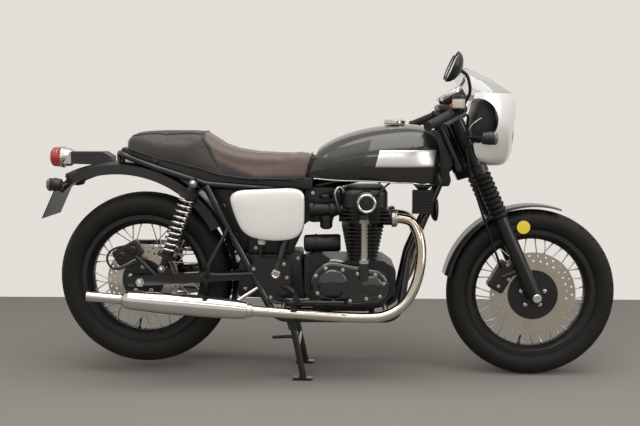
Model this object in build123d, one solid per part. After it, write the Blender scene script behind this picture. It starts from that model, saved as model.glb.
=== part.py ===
from build123d import *
import math
import os

# Cafe racer motorcycle parked on its centre stand, in millimetres.
# +X points forwards, +Y to the rider's left and +Z up from the floor.
# Stations along X are measured from the rear axle. The finished pieces are moved at the
# end so that the origin lies on the floor under the middle of the length.

# Stance
WHEELBASE = 1465
REAR_LIFT = 42          # gap under the rear tyre while the centre stand is down
RAKE = 24.5             # steering axis from the vertical, as parked
FORK_OFFSET = 54        # front axle ahead of the steering axis
TAIL_REACH = 365        # rearmost point of the number plate behind the rear axle
SEAT_GAP = 0.3          # between a piece and the curved face that it sits on

# Wheels
RIM_SEAT_R = 229        # bead seat of an 18 inch rim
RIM_FLANGE = 13         # rim edge above the bead seat
RIM_DEPTH = 23          # rim face towards the hub, below the bead seat
FRONT_TYRE_H = 88       # tyre section above the bead seat
FRONT_TYRE_R = RIM_SEAT_R + FRONT_TYRE_H
FRONT_TYRE_W = 100
FRONT_RIM_W = 66
REAR_TYRE_H = 99
REAR_TYRE_R = RIM_SEAT_R + REAR_TYRE_H
REAR_TYRE_W = 130
REAR_RIM_W = 80
SPOKE_R = 2
SPOKES = 36
AXLE_R = 9
FRONT_FLANGE_R = 60     # hub flanges that hold the spokes
FRONT_FLANGE_Y = 33
REAR_FLANGE_R = 76
REAR_FLANGE_Y = 40
FRONT_HUB_Y = 46        # half length of the hub
REAR_HUB_Y = 56
HUB_BOSS_R = 24         # hub end that centres disc and sprocket
FLANGE_T = 6
FRONT_DISC_R = 160
REAR_DISC_R = 135
DISC_T = 5
FRONT_DISC_Y = -56
REAR_DISC_Y = -68
CHAIN_Y = 80
CHAIN_W = 12
CHAIN_H = 14            # height of the link plates at a pin
CHAIN_IN = 5            # their reach inside the pin line
LINK_WAIST = 2.5        # how much they narrow between the pins
GUARD_ROOM = 8          # chain guard above the chain
CHAIN_PITCH = 15.875
REAR_TEETH = 39
FRONT_TEETH = 15

# Fork and steering
FORK_Y = 95             # fork leg from the middle plane
FORK_TUBE_R = 20.5
SLIDER_R = 26
GAITER_R = 33
SLIDER_TOP = 322        # along the leg from the axle
GAITER_TOP = 500
LOWER_YOKE = 505        # underside, along the steering axis
LOWER_YOKE_T = 30
UPPER_YOKE = 716
UPPER_YOKE_T = 24
RISER_H = 32            # handlebar seats above the upper yoke
FORK_TOP = 743
HEAD_TUBE_R = 29
STEM_R = 20
BAR_R = 11
GRIP_R = 16.5
GRIP_OUT = (1040, 322, 950)
HOSE_R = 4.5            # front brake hose

# Frame
BACKBONE_R = 24
TANK_ROOM = 8           # between the backbone and the tank's tunnel
SPINE_MID = (1000, 806)  # backbone bend, then its rear end
SPINE_END = (590, 706)
TANK_BUFFER = (1040, 798)  # rubbers beside the backbone that carry the tank
CRADLE_R = 14
RAIL_R = 12
RAIL_Y = 104            # seat rails from the middle plane
CRADLE_Y = 130
CRADLE_Z = 238
THROAT = (-14, -18, 596)  # upper end of the down tube in the steering frame, then its bend
DOWN_TUBE = (1000, -62, 470)
PIVOT_X = 505           # swingarm pivot
PIVOT_Z = 405
ARM_Y = 103
ARM_W = 22
ARM_H = 38
SHOCK_Y = 160
STUD_R = 8              # studs that carry the shock absorbers
STUD_END = SHOCK_Y + 22
SHOCK_TOP = (211, 742)
SHOCK_FOOT = (91, 430)

# Engine
BARREL_X = 825          # the rest of the engine follows the barrel
BARREL_Z = 452
HEAD_Z = 592
HEAD_TOP = 722
CASE_Y = 112            # half width of the crankcase
CASE_X0 = BARREL_X - 215
CASE_X1 = BARREL_X + 123
CASE_Z0 = 274
OUTPUT_X = BARREL_X - 213  # gearbox output shaft
OUTPUT_Z = 402
PORT_X = BARREL_X + 112  # mouth of the exhaust ports
PORT_Y = 72             # exhaust and inlet ports from the middle plane
PORT_Z = 606
BEVEL_X = BARREL_X + 3
BEVEL_Y = -165
BEVEL_FOOT = 452        # lower and upper ends of the bevel drive tube
BEVEL_TOP = 612
BEVEL_CAP_Z = 672
BEVEL_CAP_R = 41

# Exhaust
PIPE_R = 18.5
PIPE_Y = 168
SILENCER_Y = 200
SILENCER_R = 39.5

# Bodywork
TANK_SPLIT_X = 612      # foot of the slanted joint between seat and tank
TANK_SPLIT_LEAN = 36    # how far the joint leans forwards over 100 mm of height
JOINT_GAP = 5
COVER_Y = 166
GUARD_T = 4
GUARD_R = 444           # rear mudguard about a point behind the axle
GUARD_X = -90

# Centre stand and side stand
STAND_X = 566
STAND_Z = 204
STAND_Y = 104
STAND_R = 12
STAND_FOOT_X = 606
SIDE_X = 690
SIDE_Y = 166
SIDE_Z = 205
SIDE_LENGTH = 225
SIDE_PIN_R = 6

REAR_AXLE_Z = REAR_TYRE_R + REAR_LIFT
rake = math.radians(RAKE)
front_axle = Vector(WHEELBASE, 0, FRONT_TYRE_R)
axis_up = Vector(-math.sin(rake), 0, math.cos(rake))
axis_forward = Vector(math.cos(rake), 0, math.sin(rake))
axis_foot = front_axle - axis_forward * FORK_OFFSET
STEER = Location(Plane(origin=axis_foot, x_dir=axis_forward, z_dir=axis_up))


def steer_point(forward, left, up):
    """A point given in the steering frame, as a point of the bike."""
    return axis_foot + axis_forward * forward + Vector(0, left, 0) + axis_up * up


def rod(start, end, radius):
    """Round bar between two points."""
    start = Vector(*start)
    end = Vector(*end)
    return Solid.make_cylinder(radius, (end - start).length, Plane(origin=start, z_dir=end - start))


def tube(points, radius, bend):
    """Round bar through the points, bent at each corner."""
    path = FilletPolyline(*points, radius=bend)
    return sweep(Plane(origin=path @ 0, z_dir=path % 0) * Circle(radius), path=path)


def flip(piece):
    """The same piece on the other side of the bike."""
    return mirror(piece, about=Plane.XZ)


def both(piece):
    """A piece and its mirror image, as two solids of one node."""
    return Compound([*piece.solids(), *flip(piece).solids()])


def largest(piece):
    """The main solid that is left after a cut."""
    return piece.solids().sort_by(SortBy.VOLUME)[-1]


def fuse(*pieces):
    """The pieces joined into one."""
    return Part() + list(pieces)


def turned(points, start, end):
    """Body of revolution: (distance along the axis, radius) from start towards end."""
    start = Vector(*start)
    axis = Vector(*end) - start
    outline = [(0, points[0][0]), *[(radius, along) for along, radius in points], (0, points[-1][0])]
    solid = revolve(Plane.XZ * make_face(Polyline(*outline, close=True)), axis=Axis.Z)
    return Location(Plane(origin=start, z_dir=axis)) * solid


def side_plate(points, y0, y1, corner=0):
    """Plate with a side view outline of (x, z) points between two side planes."""
    outline = FilletPolyline(*points, radius=corner, close=True) if corner else Polyline(*points, close=True)
    face = Plane(origin=(0, y0, 0), x_dir=(1, 0, 0), z_dir=(0, -1, 0)) * make_face(outline)
    return extrude(face, amount=y0 - y1)


def tyre(radius, width, rim_width):
    """Road tyre about the Y axis, its bead between the rim flanges."""
    bead_y = rim_width / 2 - 3 - SEAT_GAP
    bead_r = RIM_SEAT_R + SEAT_GAP
    edge_r = RIM_SEAT_R + RIM_FLANGE
    half = width / 2
    height = radius - edge_r
    shoulder = (half * 0.86, radius - height * 0.24)
    right = ThreePointArc((bead_y, edge_r), (half, edge_r + height * 0.42), shoulder)
    crown = ThreePointArc(shoulder, (0, radius), (-shoulder[0], shoulder[1]))
    left = ThreePointArc((-shoulder[0], shoulder[1]), (-half, edge_r + height * 0.42), (-bead_y, edge_r))
    bead = Polyline((-bead_y, edge_r), (-bead_y, bead_r), (bead_y, bead_r), (bead_y, edge_r))
    return revolve(Plane.YZ * make_face([right, crown, left, bead]), axis=Axis.Y)


def wire_wheel(rim_width, flange_r, flange_y, bore_y):
    """Rim, laced spokes and hub about the Y axis, as one solid."""
    half = rim_width / 2
    edge_r = RIM_SEAT_R + RIM_FLANGE
    face_r = RIM_SEAT_R - RIM_DEPTH
    well_r = RIM_SEAT_R - 13
    rim_half = [(half, edge_r), (half, RIM_SEAT_R - 4), (half * 0.45, face_r), (0, face_r - 2)]
    well_half = [(0, well_r), (half * 0.5, well_r), (half * 0.75, RIM_SEAT_R), (half - 3, RIM_SEAT_R),
                 (half - 3, edge_r)]
    outline = [*rim_half, *[(-y, r) for y, r in reversed(rim_half[:-1])],
               *[(-y, r) for y, r in reversed(well_half[1:])], *well_half]
    rim = revolve(Plane.YZ * make_face(Polyline(*outline, close=True)), axis=Axis.Y)
    bore = AXLE_R + SEAT_GAP
    barrel_r = flange_r * 0.55
    flange_out = flange_y + FLANGE_T / 2
    flange_in = flange_y - FLANGE_T / 2
    hub_half = [(bore_y, bore), (bore_y, HUB_BOSS_R), (flange_out, HUB_BOSS_R), (flange_out, flange_r),
                (flange_in, flange_r), (flange_in - 5, barrel_r)]
    hub_line = [*hub_half, *[(-y, r) for y, r in reversed(hub_half)]]
    hub = revolve(Plane.YZ * make_face(Polyline(*hub_line, close=True)), axis=Axis.Y)
    lace = math.radians(52)
    step = 360 / SPOKES * 2
    spokes = []
    for side in (1, -1):
        for index in range(SPOKES // 2):
            lead = 1 if index % 2 else -1
            at_rim = math.radians(index * step + (step / 4 if side > 0 else -step / 4))
            at_hub = at_rim + lead * lace
            root_r = flange_r - 5
            root = (root_r * math.cos(at_hub), side * (flange_y + lead * 2), root_r * math.sin(at_hub))
            tip = (face_r * math.cos(at_rim), side * half * 0.2, face_r * math.sin(at_rim))
            spokes.append(rod(root, tip, SPOKE_R))
    return fuse(rim, hub, *spokes)


def brake_disc(radius, y, flange_y):
    """Drilled disc with its carrier, centred on the hub end and seated on the flange."""
    hub_r = HUB_BOSS_R + SEAT_GAP
    seat_y = -flange_y - FLANGE_T / 2 - SEAT_GAP
    inner = radius * 0.58
    ring = Cylinder(radius, DISC_T) - Cylinder(inner, DISC_T)
    holes = [Pos(*p) * Cylinder(4.2, DISC_T * 2) for p in hole_rows(radius)]
    carrier = Cylinder(inner + 1, DISC_T + 4) - Cylinder(hub_r, DISC_T + 4)
    disc = fuse(ring - holes, carrier)
    placed = Pos(0, y, 0) * Rot(90, 0, 0) * disc
    return fuse(placed, ring_y(y, seat_y, hub_r, hub_r + 12))


def ring_y(y0, y1, inner, outer):
    """Round collar about the Y axis between two planes."""
    return rod((0, y0, 0), (0, y1, 0), outer) - rod((0, y0, 0), (0, y1, 0), inner)


def hole_rows(radius):
    """Centres of the cooling holes of a disc, in two rings."""
    points = []
    for share, count, phase in ((0.92, 30, 0), (0.80, 30, 6)):
        for index in range(count):
            angle = math.radians(index * 360 / count + phase)
            points.append((radius * share * math.cos(angle), radius * share * math.sin(angle), 0))
    return points


pieces = {}


def front_wheel_pieces():
    at = Pos(WHEELBASE, 0, FRONT_TYRE_R)
    pieces["front_tyre"] = at * tyre(FRONT_TYRE_R, FRONT_TYRE_W, FRONT_RIM_W)
    pieces["front_wire_wheel"] = at * wire_wheel(FRONT_RIM_W, FRONT_FLANGE_R, FRONT_FLANGE_Y, FRONT_HUB_Y)
    pieces["front_disc"] = at * brake_disc(FRONT_DISC_R, FRONT_DISC_Y, FRONT_FLANGE_Y)


def rear_wheel_pieces():
    at = Pos(0, 0, REAR_AXLE_Z)
    pieces["rear_tyre"] = at * tyre(REAR_TYRE_R, REAR_TYRE_W, REAR_RIM_W)
    pieces["rear_wire_wheel"] = at * wire_wheel(REAR_RIM_W, REAR_FLANGE_R, REAR_FLANGE_Y, REAR_HUB_Y)
    pieces["rear_disc"] = at * brake_disc(REAR_DISC_R, REAR_DISC_Y, REAR_FLANGE_Y)
    pieces["rear_sprocket"] = at * rear_sprocket()


def sprocket_radius(teeth):
    """Pitch circle radius of a chain wheel."""
    return CHAIN_PITCH / (2 * math.sin(math.pi / teeth))


def rear_sprocket():
    """Toothed wheel that turns just inside the chain's link plates."""
    tip = sprocket_radius(REAR_TEETH) - CHAIN_IN - 3
    root = tip - 5
    hub_r = HUB_BOSS_R + SEAT_GAP
    outline = []
    for tooth in range(REAR_TEETH):
        for share, radius in ((0, tip), (0.5, root)):
            angle = math.radians((tooth + share) * 360 / REAR_TEETH)
            outline.append((radius * math.cos(angle), radius * math.sin(angle)))
    wheel = extrude(make_face(Polyline(*outline, close=True)), amount=3, both=True) - Cylinder(hub_r, 6)
    windows = [Rot(0, 0, a) * Pos(64, 0) * Cylinder(15, 20) for a in range(0, 360, 60)]
    plate = Pos(0, CHAIN_Y, 0) * Rot(90, 0, 0) * (wheel - windows)
    return fuse(plate, ring_y(REAR_FLANGE_Y + FLANGE_T / 2 + SEAT_GAP, CHAIN_Y, hub_r, 40))


def fork_pieces():
    """Yokes, fork legs, gaiters, axle and mudguard, in the steering frame."""
    stem = rod((0, 0, LOWER_YOKE + LOWER_YOKE_T), (0, 0, UPPER_YOKE), STEM_R)
    yokes = []
    for base, height in ((LOWER_YOKE, LOWER_YOKE_T), (UPPER_YOKE, UPPER_YOKE_T)):
        bosses = [Pos(FORK_OFFSET, side * FORK_Y, base + height / 2) * Cylinder(FORK_TUBE_R + 11, height)
                  for side in (1, -1)]
        half = [(-26, 20), (FORK_OFFSET - 14, FORK_Y + 12), (FORK_OFFSET + 16, FORK_Y - 12)]
        other = [(forward, -left) for forward, left in reversed(half)]
        bridge = make_face(Polyline(*half, (34, 0), *other, close=True))
        yoke = fuse(extrude(Pos(0, 0, base) * bridge, amount=height), *bosses)
        bores = [Pos(FORK_OFFSET, side * FORK_Y, base) * Cylinder(FORK_TUBE_R + SEAT_GAP, height * 4)
                 for side in (1, -1)]
        yokes.append(yoke - bores)
    deck = UPPER_YOKE + UPPER_YOKE_T
    risers = [rod((20, side * 40, deck), (20, side * 40, deck + RISER_H), 14) for side in (1, -1)]
    pieces["yokes"] = STEER * fuse(stem, *yokes, *risers)
    leg_points = [(-30, 14), (-14, SLIDER_R), (SLIDER_TOP, SLIDER_R), (SLIDER_TOP, FORK_TUBE_R),
                  (FORK_TOP, FORK_TUBE_R)]
    leg = Pos(FORK_OFFSET, -FORK_Y, 0) * turned(leg_points, (0, 0, 0), (0, 0, 1))
    leg -= rod((FORK_OFFSET, -FORK_Y - 60, 0), (FORK_OFFSET, -FORK_Y + 60, 0), AXLE_R + SEAT_GAP)
    pieces["fork_legs"] = STEER * both(leg)
    ribs = 9
    first = SLIDER_TOP + 2
    pitch = (GAITER_TOP - first) / ribs
    profile = []
    for rib in range(ribs):
        profile += [(first + rib * pitch, GAITER_R - 6), (first + (rib + 0.3) * pitch, GAITER_R),
                    (first + (rib + 0.7) * pitch, GAITER_R)]
    profile.append((GAITER_TOP, GAITER_R - 6))
    gaiter = turned(profile, (0, 0, 0), (0, 0, 1)) - rod((0, 0, 0), (0, 0, FORK_TOP), FORK_TUBE_R + SEAT_GAP)
    pieces["fork_gaiters"] = STEER * both(Pos(FORK_OFFSET, -FORK_Y, 0) * gaiter)
    axle = fuse(rod((FORK_OFFSET, -FORK_Y - 30, 0), (FORK_OFFSET, FORK_Y + 30, 0), AXLE_R),
                rod((FORK_OFFSET, -FORK_Y - 40, 0), (FORK_OFFSET, -FORK_Y - 30, 0), 15),
                rod((FORK_OFFSET, FORK_Y + 30, 0), (FORK_OFFSET, FORK_Y + 40, 0), 15))
    pieces["front_axle"] = STEER * axle
    pieces["front_mudguard"] = front_mudguard()


def arch(center_x, center_z, radius, half_width, depth, from_angle, to_angle):
    """Curved mudguard sheet with side skirts, about a Y axis."""
    crown = 10
    outer = [(-half_width, radius - depth), (-half_width, radius - crown), (-half_width + crown * 2, radius),
             (half_width - crown * 2, radius), (half_width, radius - crown), (half_width, radius - depth)]
    inner = [(half_width - GUARD_T, radius - depth), (half_width - GUARD_T, radius - crown - GUARD_T / 2),
             (half_width - crown * 2, radius - GUARD_T), (-half_width + crown * 2, radius - GUARD_T),
             (-half_width + GUARD_T, radius - crown - GUARD_T / 2), (-half_width + GUARD_T, radius - depth)]
    face = Plane.YZ * make_face(Polyline(*outer, *inner, close=True))
    sheet = revolve(face, axis=Axis.Y, revolution_arc=to_angle - from_angle)
    return Pos(center_x, 0, center_z) * Rot(0, 90 - to_angle, 0) * sheet


def front_mudguard():
    """Sheet over the wheel whose skirts fade out towards its front end."""
    guard_r = FRONT_TYRE_R + 19
    half = 60
    front_end = 72
    sheet = arch(WHEELBASE, FRONT_TYRE_R, guard_r, half, 34, front_end, 168)
    shift = 14
    fade_x = WHEELBASE + shift * math.cos(math.radians(front_end))
    fade_z = FRONT_TYRE_R + shift * math.sin(math.radians(front_end))
    sheet -= rod((fade_x, -100, fade_z), (fade_x, 100, fade_z), guard_r - shift - 6)
    seat_y = FORK_Y - SLIDER_R - SEAT_GAP
    anchor = steer_point(FORK_OFFSET, 0, 300)
    strap_line = [(anchor.X - 14, anchor.Z - 8), (anchor.X + 14, anchor.Z - 8), (anchor.X + 18, anchor.Z + 38),
                  (anchor.X - 18, anchor.Z + 38)]
    stays = []
    for side in (1, -1):
        strap_y = side * (half - 1.5)
        stays.append(side_plate(strap_line, strap_y + 2.5, strap_y - 2.5))
        stays.append(rod((anchor.X, strap_y, anchor.Z), (anchor.X, side * seat_y, anchor.Z), 12))
    return fuse(sheet, *stays)


# Mirror heads: side, then the middle of the bowl, as on the left side
MIRROR_Y = 338
MIRRORS = ((1, Vector(1202, MIRROR_Y, 1177)), (-1, Vector(1128, MIRROR_Y, 1141)))
MIRROR_R = 54
MIRROR_DEPTH = 56


def bar_pieces():
    """Handlebar with grips, levers and mirrors."""
    center = steer_point(20, 0, UPPER_YOKE + UPPER_YOKE_T + RISER_H + BAR_R + SEAT_GAP)
    outer = Vector(*GRIP_OUT)
    bend = Vector(1185, 172, 1014)
    left = [(center.X, 62, center.Z), tuple(bend), tuple(outer)]
    right = [(x, -y, z) for x, y, z in left]
    pieces["handlebar"] = tube([*reversed(right), *left], BAR_R, [24, 40, 40, 24])
    along = (outer - bend).normalized()
    start = outer - along * 126
    grip = turned([(0, GRIP_R + 4), (6, GRIP_R + 4), (8, GRIP_R), (122, GRIP_R - 1), (132, GRIP_R + 1)],
                  tuple(start), tuple(start + along))
    grip -= rod(tuple(start - along * 5), tuple(outer + along * SEAT_GAP), BAR_R + SEAT_GAP)
    pieces["grips"] = both(grip)
    perch = start - along * 24
    ring = rod(tuple(perch - along * 16), tuple(perch + along * 16), BAR_R + 9)
    ahead = Vector(along.Y, -along.X, 0).normalized()
    pivot = perch + ahead * 46 + Vector(0, 0, -2)
    lever_tip = outer + ahead * 74 + Vector(0, 0, 4)
    lever = tube([tuple(perch), tuple(pivot), tuple(lever_tip)], 6.5, [14])
    tip = Pos(*lever_tip) * Sphere(9)
    clamp = fuse(ring, lever, tip)
    cup_base = perch + ahead * 18 + Vector(0, 0, 12)
    cup = rod(tuple(cup_base), tuple(cup_base + Vector(0, 0, 44)), 21)
    bore = rod(tuple(start - along * 80), tuple(start - along * SEAT_GAP), BAR_R + SEAT_GAP)
    clutch_side = clamp - bore
    brake_side = flip(fuse(clamp, cup) - bore)
    pieces["hand_levers"] = Compound([*clutch_side.solids(), *brake_side.solids()])
    root = start - along * 66
    collar = rod(tuple(root - along * 12), tuple(root + along * 12), BAR_R + 7)
    glass_way = Vector(-0.92, 0, 0.39)
    mirrors = []
    for side, center in MIRRORS:
        back = center - glass_way * MIRROR_DEPTH / 2
        bowl = turned([(0, 16), (10, 32), (26, 46), (44, MIRROR_R), (MIRROR_DEPTH, MIRROR_R)],
                      tuple(back), tuple(center))
        glass = center + glass_way * (MIRROR_DEPTH / 2 - 3)
        bowl -= rod(tuple(glass), tuple(glass + glass_way * MIRROR_DEPTH), MIRROR_R - 4)
        stalk = tube([tuple(root), (root.X + 18, root.Y + 44, root.Z + 56),
                      (back.X + 24, back.Y - 50, back.Z - 24), tuple(back + glass_way * 8)], 6, [30, 24])
        one = largest(fuse(stalk, collar, bowl) - pieces["handlebar"])
        mirrors.append(one if side > 0 else flip(one))
    pieces["mirrors"] = Compound(mirrors)


def cowl_slice(z, front_x, rear_x, half, wall=0):
    """Level slice of the fairing: a bow from side to side, closed at the back."""
    side = half - wall
    bow = ThreePointArc((rear_x, -side), (front_x - wall, 0), (rear_x, side))
    back = rear_x - wall * 5
    rest = Line((rear_x, side), (rear_x, -side))
    if wall:
        rest = Polyline((rear_x, side), (back, side), (back, -side), (rear_x, -side))
    return Pos(0, 0, z) * make_face([bow, rest])


# Fairing slices from the chin up: height, front, rear edge, half width
COWL = ((803, 1352, 1292, 80), (866, 1386, 1222, 142), (945, 1397, 1215, 166),
        (1020, 1395, 1215, 168), (1066, 1381, 1218, 158))
COWL_T = 4
# Screen slices from its foot up, in the same columns
SCREEN = ((1066 + SEAT_GAP, 1379, 1222, 154), (1110, 1314, 1190, 134), (1160, 1212, 1150, 92))
SCREEN_T = 3
LAMP_X = 1388
LAMP_Z = 935
LAMP_R = 86


def fairing_pieces():
    outer = loft([cowl_slice(*row) for row in COWL])
    inner = loft([cowl_slice(z, front, rear, half, COWL_T) for z, front, rear, half in COWL])
    shell = outer - inner
    shell -= rod((1226, -300, 966), (1226, 300, 966), 80)
    shell -= rod((LAMP_X - 90, 0, LAMP_Z), (LAMP_X + 60, 0, LAMP_Z), LAMP_R + 2 * SEAT_GAP)
    pieces["fairing"] = largest(shell - pieces["yokes"] - pieces["fork_legs"])
    screen = loft([cowl_slice(*row) for row in SCREEN])
    pieces["windscreen"] = screen - loft([cowl_slice(*row, SCREEN_T) for row in SCREEN])
    bowl = [(0, 34), (30, 66), (75, LAMP_R - 8), (120, LAMP_R - 3), (122, LAMP_R), (138, LAMP_R),
            (146, LAMP_R - 10)]
    pieces["headlamp"] = turned(bowl, (LAMP_X - 146, 0, LAMP_Z), (LAMP_X, 0, LAMP_Z))
    dials = []
    for side in (1, -1):
        foot = Vector(1176, side * 58, 1022)
        face = foot + Vector(-28, 0, 44)
        dials.append(turned([(0, 34), (8, 42), (52, 44), (54, 40)], tuple(foot), tuple(face)))
    bracket = tube([(1150, -50, 1000), (1176, -58, 1026), (1176, 58, 1026), (1150, 50, 1000)], 6, [12, 12])
    pieces["instruments"] = fuse(*dials, bracket)
    winker = turned([(0, 10), (4, 20), (30, 24), (52, 21), (56, 14)], (1238, -196, 905), (1300, -196, 905))
    leg = STEER * rod((FORK_OFFSET, -FORK_Y, 0), (FORK_OFFSET, -FORK_Y, FORK_TOP), FORK_TUBE_R + SEAT_GAP)
    stem = rod((1255, -178, 905), tuple(steer_point(FORK_OFFSET, -FORK_Y - 8, 650)), 7)
    pieces["front_indicators"] = both(largest(fuse(winker, stem) - leg))


def front_brake():
    """Calliper behind the right fork leg, straddling the disc, with its hose."""
    angle = math.radians(150)
    reach = FRONT_DISC_R - 22
    center = front_axle + Vector(math.cos(angle), 0, math.sin(angle)) * reach
    block = Pos(center.X, FRONT_DISC_Y, center.Z) * Rot(0, -(150 - 90), 0) * Box(112, 62, 64)
    block = fillet(block.edges(), 9)
    slot = Pos(WHEELBASE, FRONT_DISC_Y, FRONT_TYRE_R) * Rot(90, 0, 0) * Cylinder(FRONT_DISC_R + 6, 17)
    arm = rod((center.X, FRONT_DISC_Y - 22, center.Z), tuple(steer_point(FORK_OFFSET, -FORK_Y + 18, 110)), 12)
    block = fuse(block - slot, arm)
    leg = STEER * rod((FORK_OFFSET, -FORK_Y, -40), (FORK_OFFSET, -FORK_Y, FORK_TOP), SLIDER_R + SEAT_GAP)
    pieces["front_calliper"] = block - leg
    hose = tube([(1164, -242, 992), (1190, -200, 985), (1197, -150, 950), (1195, -140, 860), (1215, -135, 760),
                 (1262, -128, 620), (1318, -118, 470), (1342, -78, 415)], HOSE_R, [50, 50, 80, 100, 100, 50])
    pieces["front_brake_hose"] = largest(hose - pieces["front_calliper"] - pieces["hand_levers"])


def frame_pieces():
    """Backbone with head tube, cradles and seat rails."""
    head = rod((0, 0, LOWER_YOKE + LOWER_YOKE_T + SEAT_GAP), (0, 0, UPPER_YOKE - SEAT_GAP), HEAD_TUBE_R)
    bore = rod((0, 0, LOWER_YOKE), (0, 0, UPPER_YOKE + 50), STEM_R + SEAT_GAP)
    neck = steer_point(0, 0, 610)
    spine = tube([tuple(neck), (SPINE_MID[0], 0, SPINE_MID[1]), (SPINE_END[0], 0, SPINE_END[1])],
                 BACKBONE_R, [200])
    gusset = side_plate([(neck.X - 10, neck.Z), (960, 790), (1050, 690), (neck.X + 10, neck.Z - 60)], 5, -5)
    cross = rod((SPINE_END[0], -70, SPINE_END[1]), (SPINE_END[0], 70, SPINE_END[1]), 16)
    seat_y = BACKBONE_R + TANK_ROOM - SEAT_GAP
    buffer = rod((TANK_BUFFER[0], -seat_y, TANK_BUFFER[1]), (TANK_BUFFER[0], seat_y, TANK_BUFFER[1]), 12)
    pieces["frame_backbone"] = fuse(STEER * head, spine, gusset, cross, buffer) - STEER * bore
    half = [(SPINE_END[0], -64, SPINE_END[1] + 8), (430, -RAIL_Y, 722), (248, -RAIL_Y, 736), (60, -RAIL_Y, 796),
            (-84, -62, 846)]
    bends = [90, 160, 200, 40]
    rail = tube([*half, *[(x, -y, z) for x, y, z in reversed(half)]], RAIL_R, [*bends, *reversed(bends)])
    stud_x, stud_z = SHOCK_TOP
    studs = [rod((stud_x, side * RAIL_Y, stud_z), (stud_x, side * STUD_END, stud_z), STUD_R)
             for side in (1, -1)]
    guard_top = REAR_AXLE_Z + GUARD_R + SEAT_GAP
    tabs = [rod((GUARD_X, side * 30, 846), (GUARD_X, side * 30, guard_top), 8) for side in (1, -1)]
    pieces["seat_rails"] = largest(fuse(rail, *studs, *tabs) - pieces["frame_backbone"])
    cradle = tube([tuple(steer_point(*THROAT)), DOWN_TUBE, (958, -CRADLE_Y, CRADLE_Z),
                   (505, -CRADLE_Y, CRADLE_Z), (248, -RAIL_Y - 4, 728)], CRADLE_R, [150, 60, 70])
    post = tube([(SPINE_END[0], -60, SPINE_END[1]), (560, -100, 600), (PIVOT_X, -CRADLE_Y, PIVOT_Z)],
                CRADLE_R, [120])
    plate = side_plate([(470, 300), (400, 420), (440, 470), (560, 460), (560, 360), (520, 290)], -CRADLE_Y + 6,
                       -CRADLE_Y - 6, 14)
    side = largest(fuse(cradle, post, plate) - pieces["frame_backbone"] - STEER * head - pieces["seat_rails"])
    ties = [rod((x, -CRADLE_Y, z), (x, CRADLE_Y, z), 13) for x, z in ((920, CRADLE_Z), (520, CRADLE_Z + 4))]
    pieces["frame_cradle"] = fuse(side, flip(side), *ties, *stand_lugs())


def stand_lugs():
    """Ears under the cradle that carry the two stands."""
    lugs = []
    for side in (1, -1):
        ear_y = side * (STAND_Y + STAND_R + 4)
        ear = side_plate([(STAND_X - 26, CRADLE_Z), (STAND_X + 26, CRADLE_Z), (STAND_X + 14, STAND_Z - 12),
                          (STAND_X - 14, STAND_Z - 12)], ear_y + 3, ear_y - 3)
        pin = rod((STAND_X, side * (STAND_Y - STAND_R - 6), STAND_Z), (STAND_X, ear_y, STAND_Z), 7)
        lugs += [ear, pin]
    pivot = Vector(SIDE_X, SIDE_Y, SIDE_Z)
    swing = side_axis()
    inboard = pivot + swing * 26
    lugs += [rod(tuple(pivot - swing * 14), tuple(inboard), SIDE_PIN_R),
             rod(tuple(inboard - swing * 6), tuple(inboard + swing * 4), 14),
             rod(tuple(inboard), (SIDE_X, CRADLE_Y, CRADLE_Z), 9)]
    return lugs


# Engine covers: side, depth, then the two lobes as (station from the barrel, height, radius)
COVERS = ((-1, 60, (-109, 374, 84), (33, 366, 64)), (1, 52, (25, 362, 74), (-175, 392, 62)))


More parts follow.
